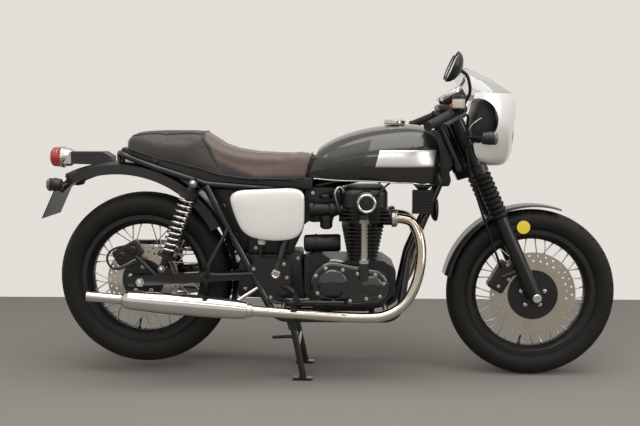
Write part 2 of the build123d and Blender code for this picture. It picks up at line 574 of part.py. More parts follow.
def engine_pieces():
    """Crankcase, covers, finned barrel, head, bevel tower and inlet side."""
    case = side_plate([(CASE_X0, 330), (CASE_X0 + 40, CASE_Z0), (CASE_X1 - 60, CASE_Z0), (CASE_X1, 330),
                       (CASE_X1, 420), (CASE_X1 - 46, BARREL_Z), (CASE_X0 + 110, BARREL_Z),
                       (CASE_X0 + 50, 482), (CASE_X0, 470)], CASE_Y, -CASE_Y, 22)
    mounts = [rod((x, side * 70, CASE_Z0 + 12), (x, side * CRADLE_Y, CRADLE_Z + 4), 12)
              for x in (BARREL_X - 125, BARREL_X + 35) for side in (1, -1)]
    room = 62
    pocket = side_plate([(CASE_X0 - 20, OUTPUT_Z - room), (OUTPUT_X + room, OUTPUT_Z - room),
                         (OUTPUT_X + room, OUTPUT_Z + room), (CASE_X0 - 20, OUTPUT_Z + room)],
                        CASE_Y + 1, CHAIN_Y - 20, 20)
    shaft = rod((OUTPUT_X, CHAIN_Y - 30, OUTPUT_Z), (OUTPUT_X, CHAIN_Y + 8, OUTPUT_Z), 14)
    sprocket = rod((OUTPUT_X, CHAIN_Y - 3, OUTPUT_Z), (OUTPUT_X, CHAIN_Y + 3, OUTPUT_Z),
                   sprocket_radius(FRONT_TEETH) - CHAIN_IN - SEAT_GAP)
    pieces["crankcase"] = largest(fuse(case - pocket, *mounts, shaft, sprocket) - pieces["frame_cradle"])
    covers = []
    for side, depth, first, second in COVERS:
        lobes = make_hull([edge for x, z, radius in (first, second)
                           for edge in (Pos(BARREL_X + x, z) * Circle(radius)).edges()])
        face = Plane(origin=(0, side * CASE_Y, 0), x_dir=(1, 0, 0), z_dir=(0, -1, 0)) * lobes
        cover = extrude(face, amount=-side * depth)
        rim = cover.faces().sort_by(Axis.Y)[-1 if side > 0 else 0].edges()
        cover = fillet(rim, 16)
        if side < 0:
            cover = fuse(cover, rod((BEVEL_X, BEVEL_Y, 390), (BEVEL_X, BEVEL_Y, BEVEL_FOOT), 21))
        covers.append(cover)
    pieces["engine_covers"] = Compound([solid for cover in covers for solid in cover.solids()])
    fins = []
    fin_count = 9
    pitch = (HEAD_Z - BARREL_Z - 16) / fin_count
    for index in range(fin_count):
        grow = index / (fin_count - 1)
        fins.append(Pos(BARREL_X, 0, BARREL_Z + 14 + index * pitch)
                    * extrude(RectangleRounded(112 + 42 * grow, 250 + 34 * grow, 24), amount=3.2))
    core = Pos(BARREL_X, 0, (BARREL_Z + HEAD_Z) / 2) * extrude(RectangleRounded(94, 214, 40),
                                                               amount=(HEAD_Z - BARREL_Z) / 2, both=True)
    pieces["cylinder_barrel"] = fuse(core, *fins)
    head_fins = []
    for index in range(4):
        head_fins.append(Pos(BARREL_X + 10, 0, HEAD_Z + 8 + index * 13)
                         * extrude(RectangleRounded(196 - index * 6, 286 - index * 6, 26), amount=3.4))
    head_core = Pos(BARREL_X + 8, 0, HEAD_Z) * extrude(RectangleRounded(132, 236, 30), amount=66)
    lid = extrude(RectangleRounded(168, 262, 44), amount=HEAD_TOP - HEAD_Z - 60)
    lid = Pos(BARREL_X + 8, 0, HEAD_Z + 60) * lid
    lid = fillet(lid.faces().sort_by(Axis.Z)[-1].edges(), 26)
    spigots = [rod((BARREL_X + 60, side * PORT_Y, PORT_Z), (PORT_X, side * PORT_Y, PORT_Z), PIPE_R + 7)
               for side in (1, -1)]
    mouth = BARREL_X - 92
    inlets = [rod((BARREL_X - 50, side * PORT_Y, 640), (mouth, side * PORT_Y, 640), 24) for side in (1, -1)]
    seat_y = BEVEL_Y - 5
    stub = rod((BEVEL_X + 8, -118, BEVEL_CAP_Z), (BEVEL_X + 8, seat_y, BEVEL_CAP_Z), BEVEL_CAP_R + 1)
    neck = rod((BEVEL_X, BEVEL_Y, BEVEL_TOP), (BEVEL_X, BEVEL_Y, BEVEL_CAP_Z - BEVEL_CAP_R - 1), 20)
    bridge = rod((BEVEL_X, BEVEL_Y, BEVEL_TOP + 9), (BEVEL_X, -118, BEVEL_TOP + 9), 9)
    pieces["cylinder_head"] = fuse(head_core, *head_fins, lid, *spigots, *inlets, stub, neck, bridge)
    foot_z = BEVEL_FOOT + SEAT_GAP
    rise = BEVEL_TOP - SEAT_GAP - foot_z
    tower = turned([(0, 20), (14, 20), (16, 13), (rise - 16, 13), (rise - 14, 20), (rise, 20)],
                   (BEVEL_X, BEVEL_Y, foot_z), (BEVEL_X, BEVEL_Y, BEVEL_TOP))
    cap = turned([(SEAT_GAP, BEVEL_CAP_R), (16, BEVEL_CAP_R), (22, BEVEL_CAP_R - 5), (26, BEVEL_CAP_R - 11)],
                 (BEVEL_X + 8, seat_y, BEVEL_CAP_Z), (BEVEL_X + 8, seat_y - 1, BEVEL_CAP_Z))
    pieces["bevel_drive"] = Compound([*tower.solids(), *cap.solids()])
    bodies = []
    for side in (1, -1):
        body = turned([(SEAT_GAP, 24), (14, 29), (28, 29), (34, 25), (84, 26), (92, 31), (104, 31)],
                      (mouth, side * PORT_Y, 640), (mouth - 1, side * PORT_Y, 640))
        bodies.append(body)
    link = rod((mouth - 53, -PORT_Y, 640), (mouth - 53, PORT_Y, 640), 9)
    pieces["throttle_bodies"] = fuse(*bodies, link)
    box_x = mouth - 104 - SEAT_GAP
    box = side_plate([(390, 560), (390, 700), (box_x - 109, 700), (box_x - 73, 668), (box_x, 668), (box_x, 596),
                      (box_x - 69, 545)], 70, -70, 10)
    pieces["airbox"] = largest(box - pieces["frame_cradle"])


def exhaust_pieces():
    """Header pipes and silencers, one of each per side."""
    front = Vector(424, -SILENCER_Y, 282)
    rear = Vector(-172, -SILENCER_Y - 6, 334)
    axis = (rear - front).normalized()
    lead = front - axis * 90
    header = tube([(PORT_X + SEAT_GAP, -PORT_Y, PORT_Z), (PORT_X + 40, -PORT_Y, PORT_Z),
                   (PORT_X + 103, -112, 560), (PORT_X + 99, -150, 400), (PORT_X + 21, -PIPE_Y, 268),
                   (PORT_X - 97, -PIPE_Y, 250), tuple(lead), tuple(front)], PIPE_R, [30, 50, 90, 90, 120, 120])
    pieces["headers"] = both(header)
    length = (rear - front).length
    profile = [(SEAT_GAP, PIPE_R + 3), (18, PIPE_R + 3), (20, 31), (60, SILENCER_R - 4), (180, SILENCER_R),
               (300, SILENCER_R), (448, 34.5), (464, 30), (474, PIPE_R), (length, PIPE_R)]
    bore = rod(tuple(rear - axis * 60), tuple(rear + axis), PIPE_R - 2.5)
    silencer = turned(profile, tuple(front), tuple(rear)) - bore
    hanger = rod((444, -CRADLE_Y + 4, 356), tuple(front + axis * 66 + Vector(0, 22, 20)), 7)
    pieces["silencers"] = both(largest(fuse(silencer, hanger) - pieces["frame_cradle"]))


def split_plane(offset):
    """Half space ahead of the slanted joint between seat and tank."""
    lean = TANK_SPLIT_LEAN / 100
    foot = TANK_SPLIT_X + offset
    low = 600
    high = 1100
    return side_plate([(foot - lean * (740 - low), low), (foot + 2000, low), (foot + 2000, high),
                       (foot + lean * (high - 740), high)], 400, -400)


# Tank sections from the seat forwards: station, bottom, top, half width at the foot, at the belly
TANK = ((606, 752, 806, 92, 100), (700, 749, 890, 112, 124), (800, 746, 929, 126, 141),
        (900, 743, 948, 133, 150), (1000, 739, 953, 131, 149), (1070, 734, 938, 104, 124),
        (1112, 728, 878, 62, 78))


def tank_slice(x, bottom, top, foot, belly):
    rise = top - bottom
    shoulder_y = belly * 0.80
    shoulder_z = bottom + rise * 0.72
    side = ThreePointArc((foot, bottom), (belly, bottom + rise * 0.40), (shoulder_y, shoulder_z))
    crown = ThreePointArc((shoulder_y, shoulder_z), (0, top), (-shoulder_y, shoulder_z))
    other = ThreePointArc((-shoulder_y, shoulder_z), (-belly, bottom + rise * 0.40), (-foot, bottom))
    return Plane(origin=(x, 0, 0), x_dir=(0, 1, 0), z_dir=(1, 0, 0)) * make_face(
        [side, crown, other, Line((-foot, bottom), (foot, bottom))])


# Seat sections from the tail forwards: station, bottom, top, half width, edge radius
SEAT = ((-76, 862, 872, 60, 4), (-36, 856, 917, 92, 24), (60, 822, 927, 108, 34), (200, 788, 922, 116, 34),
        (290, 762, 874, 122, 30), (390, 747, 851, 124, 28), (514, 744, 845, 118, 26), (650, 752, 846, 100, 26))


def seat_slice(x, bottom, top, half, edge):
    outline = [(-half, bottom), (half, bottom), (half, top - edge), (half - edge, top), (-half + edge, top),
               (-half, top - edge)]
    arcs = [Line(outline[0], outline[1]), Line(outline[1], outline[2]),
            RadiusArc(outline[2], outline[3], -edge), Line(outline[3], outline[4]),
            RadiusArc(outline[4], outline[5], -edge), Line(outline[5], outline[0])]
    return Plane(origin=(x, 0, 0), x_dir=(0, 1, 0), z_dir=(1, 0, 0)) * make_face(arcs)


def body_pieces():
    """Tank, cap, seat, side covers, rear mudguard and what it carries."""
    tank = loft([tank_slice(*row) for row in TANK])
    tunnel_y = BACKBONE_R + TANK_ROOM
    top = tunnel_y + 2
    tunnel = side_plate([(500, 600), (1400, 600), (1400, 912 + top), (SPINE_MID[0], SPINE_MID[1] + top),
                         (500, 684 + top)], tunnel_y, -tunnel_y)
    notch = side_plate([(1080, 600), (1400, 600), (1400, 790), (1080, 790)], 52, -52)
    tank = (tank & split_plane(JOINT_GAP)) - tunnel - notch
    pieces["fuel_tank"] = tank
    cap_x = 945
    cap_z = 951.5
    cap = turned([(0, 38), (6, 41), (14, 41), (19, 34)], (cap_x, 0, cap_z), (cap_x, 0, cap_z + 1))
    pieces["fuel_cap"] = cap - tank
    seat = loft([seat_slice(*row) for row in SEAT])
    seat = seat - split_plane(0)
    feet = [rod((x, side * 100, z), (x, side * 100, z - 26), 10)
            for x, z in ((60, 830), (430, 752)) for side in (1, -1)]
    pieces["seat"] = largest(fuse(seat, *feet) - pieces["seat_rails"])
    cover = side_plate([(344, 708), (600, 722), (606, 600), (580, 548), (470, 536), (408, 566), (366, 636)],
                       -COVER_Y + 24, -COVER_Y, 26)
    cover = fillet(cover.faces().sort_by(Axis.Y)[0].edges(), 14)
    hollow = side_plate([(352, 702), (594, 716), (600, 602), (576, 554), (472, 542), (413, 571), (373, 638)],
                        -COVER_Y + 25, -COVER_Y + 5, 22)
    pegs = [rod((x, -COVER_Y + 3, z), (x, -70 - SEAT_GAP, z), 8)
            for x, z in ((420, 672), (520, 672), (470, 588))]
    pieces["side_covers"] = both(fuse(cover - hollow, *pegs))
    pieces["rear_mudguard"] = arch(GUARD_X, REAR_AXLE_Z, GUARD_R, 84, 46, 28, 116)
    lamp_z = 828
    lamp = turned([(0, 22), (12, 33), (40, 37), (44, 39), (50, 39), (54, 36), (80, 34), (88, 24)],
                  (-268, 0, lamp_z), (-352, 0, lamp_z + 2))
    bracket = side_plate([(-300, 806), (-276, 850), (-150, 850), (-120, 832), (-120, 810), (-180, 802)],
                         40, -40)
    crown = rod((GUARD_X, -100, REAR_AXLE_Z), (GUARD_X, 100, REAR_AXLE_Z), GUARD_R + SEAT_GAP)
    pieces["tail_lamp"] = fuse(lamp, bracket - crown)
    plate_low = Vector(-TAIL_REACH, 0, 606)
    plate_high = Vector(-305, 0, 734)
    slope = plate_high - plate_low
    plate_plane = Plane(origin=plate_low + slope / 2, x_dir=(0, 1, 0), z_dir=slope.cross(Vector(0, 1, 0)))
    plate = Location(plate_plane) * Box(210, slope.length, 3)
    skin_r = GUARD_R - 2
    chord = [(GUARD_X + skin_r * math.cos(angle), REAR_AXLE_Z + skin_r * math.sin(angle))
             for angle in (math.radians(98), math.radians(112))]
    hanger = side_plate([*chord, (-300, 742), (-322, 700), (-312, 694), (-262, 738), (-160, 770)], 24, -24)
    pieces["plate_holder"] = largest(fuse(plate, hanger) - pieces["rear_mudguard"])
    winker = turned([(0, 10), (6, 20), (28, 25), (46, 22), (50, 12)], (-272, -136, 734), (-330, -136, 734))
    stem = rod((-288, -116, 734), (-288, -24 - SEAT_GAP, 734), 7)
    pieces["rear_indicators"] = both(fuse(winker, stem))


def swingarm_pieces():
    """Swingarm, shock absorbers, chain run, rear axle and brake."""
    cross = rod((PIVOT_X, -CRADLE_Y + 8, PIVOT_Z), (PIVOT_X, CRADLE_Y - 8, PIVOT_Z), 20)
    arms = []
    for side in (1, -1):
        arm = side_plate([(PIVOT_X, PIVOT_Z + ARM_H / 2), (-48, REAR_AXLE_Z + ARM_H / 2),
                          (-48, REAR_AXLE_Z - ARM_H / 2), (PIVOT_X, PIVOT_Z - ARM_H / 2)],
                         side * ARM_Y + ARM_W / 2, side * ARM_Y - ARM_W / 2, 8)
        ear = side_plate([(SHOCK_FOOT[0] - 34, REAR_AXLE_Z + 4), (SHOCK_FOOT[0] + 44, REAR_AXLE_Z + 4),
                          (SHOCK_FOOT[0] + 14, SHOCK_FOOT[1] + 14), (SHOCK_FOOT[0] - 14, SHOCK_FOOT[1] + 14)],
                         side * ARM_Y + 5, side * ARM_Y - 5)
        stud_x, stud_z = SHOCK_FOOT
        stud = rod((stud_x, side * ARM_Y, stud_z), (stud_x, side * STUD_END, stud_z), STUD_R)
        arms += [arm, ear, stud]
    bore = rod((0, -200, REAR_AXLE_Z), (0, 200, REAR_AXLE_Z), AXLE_R + SEAT_GAP)
    pieces["swingarm"] = fuse(cross, *arms) - bore - pieces["frame_cradle"]
    nut_y = ARM_Y + ARM_W / 2 + SEAT_GAP
    nuts = [rod((0, side * nut_y, REAR_AXLE_Z), (0, side * (nut_y + 14), REAR_AXLE_Z), 15) for side in (1, -1)]
    pieces["rear_axle"] = fuse(rod((0, -nut_y, REAR_AXLE_Z), (0, nut_y, REAR_AXLE_Z), AXLE_R), *nuts)
    top = Vector(SHOCK_TOP[0], -SHOCK_Y, SHOCK_TOP[1])
    foot = Vector(SHOCK_FOOT[0], -SHOCK_Y, SHOCK_FOOT[1])
    axis = (top - foot).normalized()
    length = (top - foot).length
    damper = turned([(10, 12), (40, 14), (44, 34), (58, 34), (58, 20), (150, 20), (152, 9), (length - 60, 9),
                     (length - 60, 33), (length - 36, 33), (length - 30, 16), (length - 8, 14)],
                    tuple(foot), tuple(top))
    eyes = [rod((p.X, p.Y - 15, p.Z), (p.X, p.Y + 15, p.Z), 17) for p in (top, foot)]
    holes = [rod((p.X, p.Y - 60, p.Z), (p.X, p.Y + 60, p.Z), STUD_R + SEAT_GAP) for p in (top, foot)]
    pieces["shock_dampers"] = both(fuse(damper, *eyes) - holes)
    coil_from = 58 + SEAT_GAP
    coil_to = length - 60 - SEAT_GAP
    turns = 10
    pitch = (coil_to - coil_from) / turns
    profile = []
    for turn in range(turns):
        profile += [(coil_from + turn * pitch, 26), (coil_from + (turn + 0.3) * pitch, 31),
                    (coil_from + (turn + 0.7) * pitch, 31)]
    profile.append((coil_to, 26))
    coil = turned(profile, tuple(foot), tuple(top)) - rod(tuple(foot), tuple(top), 22)
    pieces["shock_springs"] = both(coil)
    pieces["chain"] = chain_loop()
    low_rear = REAR_AXLE_Z + sprocket_radius(REAR_TEETH) + CHAIN_H / 2 + GUARD_ROOM
    low_front = OUTPUT_Z + sprocket_radius(FRONT_TEETH) + CHAIN_H / 2 + GUARD_ROOM
    guard = side_plate([(-70, low_rear), (-60, low_rear + 16), (40, low_rear + 16), (480, low_front + 18),
                        (480, low_front + 4), (40, low_rear)], CHAIN_Y + 13, CHAIN_Y - 13)
    tab = rod((300, ARM_Y - 12, low_front + 14), (300, ARM_Y, 394), 6)
    pieces["chain_guard"] = fuse(guard, tab) - pieces["swingarm"]
    rear_brake()


def chain_loop():
    """Closed chain round both sprockets: its plates bulge at each pin and narrow in between."""
    wheels = ((0, REAR_AXLE_Z, sprocket_radius(REAR_TEETH)), (OUTPUT_X, OUTPUT_Z, sprocket_radius(FRONT_TEETH)))
    hull = make_hull([edge for x, z, radius in wheels for edge in (Pos(x, z) * Circle(radius)).edges()])
    pin_line = hull.face().outer_wire()
    inside = Vector(OUTPUT_X / 2, (REAR_AXLE_Z + OUTPUT_Z) / 2)
    half_links = 4 * round(pin_line.length / CHAIN_PITCH / 2)
    outer = []
    inner = []
    for index in range(half_links):
        along = pin_line.length * index / half_links
        point = pin_line.position_at(along, PositionMode.LENGTH)
        tangent = pin_line.tangent_at(along, PositionMode.LENGTH)
        outward = Vector(tangent.Y, -tangent.X)
        if outward.dot(point - inside) < 0:
            outward = outward * -1
        waist = LINK_WAIST if index % 2 else 0
        outer.append(tuple(point + outward * (CHAIN_H / 2 - waist))[:2])
        inner.append(tuple(point - outward * (CHAIN_IN - waist))[:2])
    y0 = CHAIN_Y + CHAIN_W / 2
    return side_plate(outer, y0, y0 - CHAIN_W) - side_plate(inner, y0, y0 - CHAIN_W)


def rear_brake():
    """Calliper above the rear disc, on its bracket, with the torque stay."""
    angle = 118
    reach = REAR_DISC_R - 18
    x = reach * math.cos(math.radians(angle))
    z = REAR_AXLE_Z + reach * math.sin(math.radians(angle))
    block = Pos(x, REAR_DISC_Y, z) * Rot(0, -(angle - 90), 0) * Box(104, 50, 62)
    block = fillet(block.edges(), 8)
    slot = Pos(0, REAR_DISC_Y, REAR_AXLE_Z) * Rot(90, 0, 0) * Cylinder(REAR_DISC_R + 6, 17)
    arm = rod((x + 30, REAR_DISC_Y - 16, z - 10), (60, -ARM_Y, REAR_AXLE_Z + 18), 9)
    pieces["rear_calliper"] = fuse(block - slot, arm) - pieces["swingarm"]


def foot_pieces():
    """Footrests, pedal, gear lever and the electric units ahead of the engine."""
    peg_x = 586
    peg_z = 342
    peg_arm = tube([(530, -CRADLE_Y, 362), (556, -CRADLE_Y - 26, 356), (peg_x, -CRADLE_Y - 56, peg_z)],
                   10, [20])
    peg = fuse(rod((peg_x, -CRADLE_Y - 40, peg_z), (peg_x, -262, peg_z), 13), peg_arm)
    hang = tube([(330, -CRADLE_Y, 574), (262, -168, 440), (262, -168, 408), (300, -160, 404),
                 (420, -CRADLE_Y, 404)], 8, [30, 12, 20])
    rest = rod((256, -160, 408), (256, -262, 408), 12)
    pieces["rider_footrests"] = both(largest(peg - pieces["frame_cradle"]))
    pieces["passenger_footrests"] = both(largest(fuse(hang, rest) - pieces["frame_cradle"]))
    plate_y = CRADLE_Y + 6 + SEAT_GAP
    pedal = tube([(516, -plate_y - 10, 318), (560, -196, 312), (760, -196, 312), (772, -226, 312)], 7, [24, 14])
    pedal = fuse(pedal, rod((516, -plate_y, 318), (516, -plate_y - 22, 318), 12))
    lever = tube([(516, plate_y + 10, 318), (560, 192, 312), (744, 192, 322), (752, 236, 322)], 7, [24, 14])
    lever = fuse(lever, rod((516, plate_y, 318), (516, plate_y + 22, 318), 12))
    pieces["foot_controls"] = Compound([*pedal.solids(), *lever.solids()])
    unit = Pos(1046, -78, 668) * Box(76, 20, 88)
    fins = [Pos(1046, -92, 630 + 11 * index) * Box(76, 14, 3) for index in range(8)]
    arm = rod((1060, -70, 668), (1085, -40, 668), 7)
    pieces["rectifier"] = largest(fuse(unit, *fins, arm) - pieces["frame_cradle"])


def stand_pieces():
    """Centre stand with its foot lever, and the folded side stand."""
    legs = []
    for side in (1, -1):
        barrel = rod((STAND_X, side * (STAND_Y - STAND_R), STAND_Z),
                     (STAND_X, side * (STAND_Y + STAND_R), STAND_Z), STAND_R + 1)
        foot_y = side * (STAND_Y + 10)
        leg = rod((STAND_X, side * STAND_Y, STAND_Z), (STAND_FOOT_X, foot_y, 6), STAND_R)
        foot = side_plate([(STAND_FOOT_X - 42, 0), (STAND_FOOT_X + 28, 0), (STAND_FOOT_X + 34, 9),
                           (STAND_FOOT_X - 36, 11)], foot_y + 15, foot_y - 15)
        legs += [barrel, leg, foot]
    brace = rod((STAND_X + 16, -STAND_Y, 126), (STAND_X + 16, STAND_Y, 126), STAND_R - 1)
    tang = tube([(STAND_FOOT_X - 18, STAND_Y + 4, 90), (545, STAND_Y + 28, 102), (470, STAND_Y + 30, 98)],
                7, [30])
    pivot_bore = rod((STAND_X, -400, STAND_Z), (STAND_X, 400, STAND_Z), 7 + SEAT_GAP)
    pieces["centre_stand"] = fuse(*legs, brace, tang) - pivot_bore
    pivot = Vector(SIDE_X, SIDE_Y, SIDE_Z)
    swing = side_axis()
    heel = pivot + Vector(-SIDE_LENGTH, 0, 0)
    leg = rod(tuple(pivot), tuple(heel), 10)
    boss = rod(tuple(pivot - swing * 13), tuple(pivot + swing * 13), 15)
    pad = rod(tuple(heel + Vector(4, 0, 0)), tuple(heel - Vector(8, 0, 0)), 20)
    pin_room = rod(tuple(pivot - swing * 40), tuple(pivot + swing * 40), SIDE_PIN_R + SEAT_GAP)
    pieces["side_stand"] = fuse(leg, boss, pad) - pin_room


def side_axis():
    """Axis of the side stand: it swings the leg down, forwards and outwards."""
    folded = Vector(-1, 0, 0)
    down = Vector(0.2, 0.35, -0.9).normalized()
    return folded.cross(down).normalized()


front_wheel_pieces()
rear_wheel_pieces()
fork_pieces()
bar_pieces()
fairing_pieces()
front_brake()
frame_pieces()
engine_pieces()
exhaust_pieces()
body_pieces()
swingarm_pieces()
foot_pieces()
stand_pieces()

# The origin goes to the floor under the middle of the length
middle = (WHEELBASE + FRONT_TYRE_R - TAIL_REACH) / 2
os.makedirs("parts", exist_ok=True)
for name, piece in pieces.items():
    export_step(Pos(-middle, 0, 0) * piece, f"parts/{name}.step")
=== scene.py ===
import math

import bmesh
import bpy
from mathutils import Matrix, Vector


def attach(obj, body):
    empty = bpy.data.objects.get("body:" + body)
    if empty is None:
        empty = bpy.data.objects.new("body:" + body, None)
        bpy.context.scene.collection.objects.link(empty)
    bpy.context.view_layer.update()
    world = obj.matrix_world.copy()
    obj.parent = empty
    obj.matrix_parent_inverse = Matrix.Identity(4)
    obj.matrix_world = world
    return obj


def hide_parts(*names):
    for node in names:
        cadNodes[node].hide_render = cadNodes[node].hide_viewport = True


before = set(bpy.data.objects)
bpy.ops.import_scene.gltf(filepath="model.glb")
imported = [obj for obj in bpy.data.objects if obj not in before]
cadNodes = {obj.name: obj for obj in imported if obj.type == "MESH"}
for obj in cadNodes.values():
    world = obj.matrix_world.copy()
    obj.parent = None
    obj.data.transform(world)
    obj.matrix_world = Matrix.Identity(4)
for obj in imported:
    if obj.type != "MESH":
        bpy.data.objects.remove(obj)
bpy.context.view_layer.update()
print("frame loaded:", len(cadNodes), "nodes")

midLength = 708.5  # rear axle to the origin, mm
leftward = Vector((0, 1, 0))
facing = 0.9  # least part of a normal along an axis
bothSides = ((1, "Left"), (-1, "Right"))


def at(x, y, z):
    # a point in mm, X measured from the rear axle
    return Vector(((x - midLength) / 1000, y / 1000, z / 1000))


def onSide(side, point):
    # as drawn for side 1, mirrored for side -1
    return at(point[0], side * point[1], point[2])


# selection and edit mode

def clearPick():
    if bpy.context.mode != "OBJECT":
        bpy.ops.object.mode_set(mode="OBJECT")
    bpy.ops.object.select_all(action="DESELECT")


def pickOnly(*objs):
    clearPick()
    for obj in objs:
        obj.select_set(True)
    bpy.context.view_layer.objects.active = objs[0]


def openEdit(obj, kind="FACE"):
    pickOnly(obj)
    bpy.ops.object.mode_set(mode="EDIT")
    bpy.ops.mesh.select_mode(type=kind)
    pickNone()


def closeEdit():
    bpy.ops.object.mode_set(mode="OBJECT")


def pickAll():
    bpy.ops.mesh.select_all(action="SELECT")


def pickNone():
    bpy.ops.mesh.select_all(action="DESELECT")


def drawOut(move):
    bpy.ops.mesh.extrude_region_move(TRANSFORM_OT_translate={"value": move})


def startPiece(primitive, name, **settings):
    clearPick()
    primitive(**settings)
    obj = bpy.context.active_object
    obj.name = name
    return obj


def pickFaces(obj, test):
    # test(centre, normal) in the object's own coordinates
    mesh = bmesh.from_edit_mesh(obj.data)
    for face in mesh.faces:
        face.select_set(test(face.calc_center_median(), face.normal))
    bmesh.update_edit_mesh(obj.data)


def pickVerts(obj, test):
    mesh = bmesh.from_edit_mesh(obj.data)
    for vert in mesh.verts:
        vert.select_set(test(vert.co))
    mesh.select_flush(True)
    bmesh.update_edit_mesh(obj.data)


def tidyShell(merge=0.00002):
    # in edit mode: doubles merged, then all faces turned outwards
    pickAll()
    bpy.ops.mesh.remove_doubles(threshold=merge)
    bpy.ops.mesh.normals_make_consistent(inside=False)


def mendShell(obj):
    openEdit(obj)
    tidyShell()
    closeEdit()


def turnOut(obj):
    openEdit(obj)
    pickAll()
    bpy.ops.mesh.normals_make_consistent(inside=False)
    closeEdit()


def joinAll(made, name=None):
    pickOnly(*made)
    if len(made) > 1:
        bpy.ops.object.join()
    made[0].name = name or made[0].name
    return made[0]


def useModifier(obj, kind, **settings):
    pickOnly(obj)
    modifier = obj.modifiers.new(kind.title(), kind)
    for key, value in settings.items():
        setattr(modifier, key, value)
    bpy.ops.object.modifier_apply(modifier=modifier.name)


def softEdges(obj, width, segments=2):
    useModifier(obj, "BEVEL", width=width, segments=segments, limit_method="ANGLE")


def smoothBy(obj, angle=35):
    pickOnly(obj)
    bpy.ops.object.shade_smooth_by_angle(angle=math.radians(angle))


def fixPlace(obj):
    # place and turn go into the mesh
    pickOnly(obj)
    bpy.ops.object.transform_apply(location=True, rotation=True, scale=True)


def placeAlong(obj, base, direction):
    # the object's own Z axis laid along direction
    turn = Vector((0, 0, 1)).rotation_difference(Vector(direction))
    obj.rotation_mode = "QUATERNION"
    obj.rotation_quaternion = turn
    obj.location = base
    fixPlace(obj)


def layAt(obj, spot, x, y, z):
    # the object's own axes laid along x, y and z
    obj.matrix_world = Matrix.Translation(spot) @ Matrix((x, y, z)).transposed().to_4x4()
    fixPlace(obj)


def openLine(name, points):
    # one corner of a plane is kept and drawn out along the points; left in edit mode
    obj = startPiece(bpy.ops.mesh.primitive_plane_add, name, size=0.001)
    openEdit(obj, "VERT")
    pickVerts(obj, lambda co: co.x > 0 or co.y > 0)
    bpy.ops.mesh.delete(type="VERT")
    pickAll()
    bpy.ops.transform.translate(value=Vector(points[0]) - Vector((-0.0005, -0.0005, 0)))
    for here, there in zip(points, points[1:]):
        bpy.ops.mesh.extrude_vertices_move(TRANSFORM_OT_translate={"value": Vector(there) - Vector(here)})
    return obj


def turnedPiece(name, profile, base=(0, 0, 0), direction=(0, 0, 1), steps=32):
    # profile: (along, radius) in mm, spun about the piece's own axis
    obj = openLine(name, [(radius / 1000, 0, along / 1000) for along, radius in profile])
    pickAll()
    bpy.ops.mesh.spin(steps=steps, angle=2 * math.pi, center=(0, 0, 0), axis=(0, 0, 1))
    tidyShell()
    closeEdit()
    placeAlong(obj, base, direction)
    return obj


def tubePiece(name, points, radius, sides=4):
    # points in metres; a smooth NURBS path with a round bevel, made a mesh
    obj = startPiece(bpy.ops.curve.primitive_nurbs_path_add, name)
    curve = obj.data
    curve.splines.clear()
    spline = curve.splines.new("NURBS")
    spline.points.add(len(points) - 1)
    for spot, point in zip(spline.points, points):
        spot.co = (*point, 1)
    spline.order_u = 3
    spline.use_endpoint_u = True
    curve.resolution_u = 8
    curve.bevel_depth = radius
    curve.bevel_resolution = sides
    curve.use_fill_caps = True
    obj.location = (0, 0, 0)
    pickOnly(obj)
    bpy.ops.object.convert(target="MESH")
    obj = bpy.context.active_object
    mendShell(obj)
    return obj


def rounded(outline, rounds):
    # corners of a closed outline are cut again and again until they run round
    for turn in range(rounds):
        cut = []
        for here, there in zip(outline, outline[1:] + outline[:1]):
            start, end = Vector(here), Vector(there)
            cut += [tuple(start.lerp(end, 0.25)), tuple(start.lerp(end, 0.75))]
        outline = cut
    return outline


def platePiece(name, outline, low, high, soft):
    # side outline of (x, z) points in mm, drawn out between two side planes, edges rounded
    obj = openLine(name, [at(x, low, z) for x, z in outline])
    pickAll()
    bpy.ops.mesh.edge_face_add()
    drawOut((0, (high - low) / 1000, 0))
    tidyShell()
    closeEdit()
    softEdges(obj, soft / 1000, 3)
    return obj


def copiesOf(obj, places):
    # places: (point, direction); every copy gets its own mesh, and all are joined
    made = []
    for point, direction in places:
        pickOnly(obj)
        bpy.ops.object.duplicate()
        twin = bpy.context.active_object
        placeAlong(twin, point, direction)
        made.append(twin)
    name = obj.name
    bpy.data.objects.remove(obj)
    return joinAll(made, name)


def dress(obj, label, body, angle=35):
    obj.data.materials.clear()
    obj.data.materials.append(finish[label])
    smoothBy(obj, angle)
    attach(obj, body)
    return obj


def fitTurned(name, profile, steps, spots, label, body, angle=35):
    return dress(copiesOf(turnedPiece(name, profile, steps=steps), spots), label, body, angle)


# node helpers for the finishes

def addNode(tree, kind, values=None, **props):
    node = tree.nodes.new(kind)
    for key, value in props.items():
        setattr(node, key, value)
    for key, value in (values or {}).items():
        if isinstance(value, bpy.types.NodeSocket):
            tree.links.new(value, node.inputs[key])
        else:
            node.inputs[key].default_value = value
    return node


def treeOf(*values):
    # the node tree of the first socket among the values
    return next(value.id_data for value in values if isinstance(value, bpy.types.NodeSocket))


def calc(operation, *values):
    return addNode(treeOf(*values), "ShaderNodeMath", dict(enumerate(values)), operation=operation).outputs[0]


def plus(a, b):
    return calc("ADD", a, b)


def minus(a, b):
    return calc("SUBTRACT", a, b)


def times(a, b):
    return calc("MULTIPLY", a, b)


def rampUp(value, low, high):
    return addNode(treeOf(value), "ShaderNodeMapRange", {0: value, 1: low, 2: high},
        interpolation_type="SMOOTHSTEP").outputs[0]


def between(value, low, high, soft):
    return times(rampUp(value, low - soft, low + soft), rampUp(value, high + soft, high - soft))


def shaded(colour, share):
    return [c * share for c in colour] + [1]


def mixColour(mask, first, second):
    sockets = {0: mask, 6: first, 7: second}
    return addNode(treeOf(mask, first, second), "ShaderNodeMix", sockets, data_type="RGBA").outputs[2]


def mixValue(mask, first, second):
    return addNode(treeOf(mask), "ShaderNodeMix", {0: mask, 2: first, 3: second}).outputs[0]


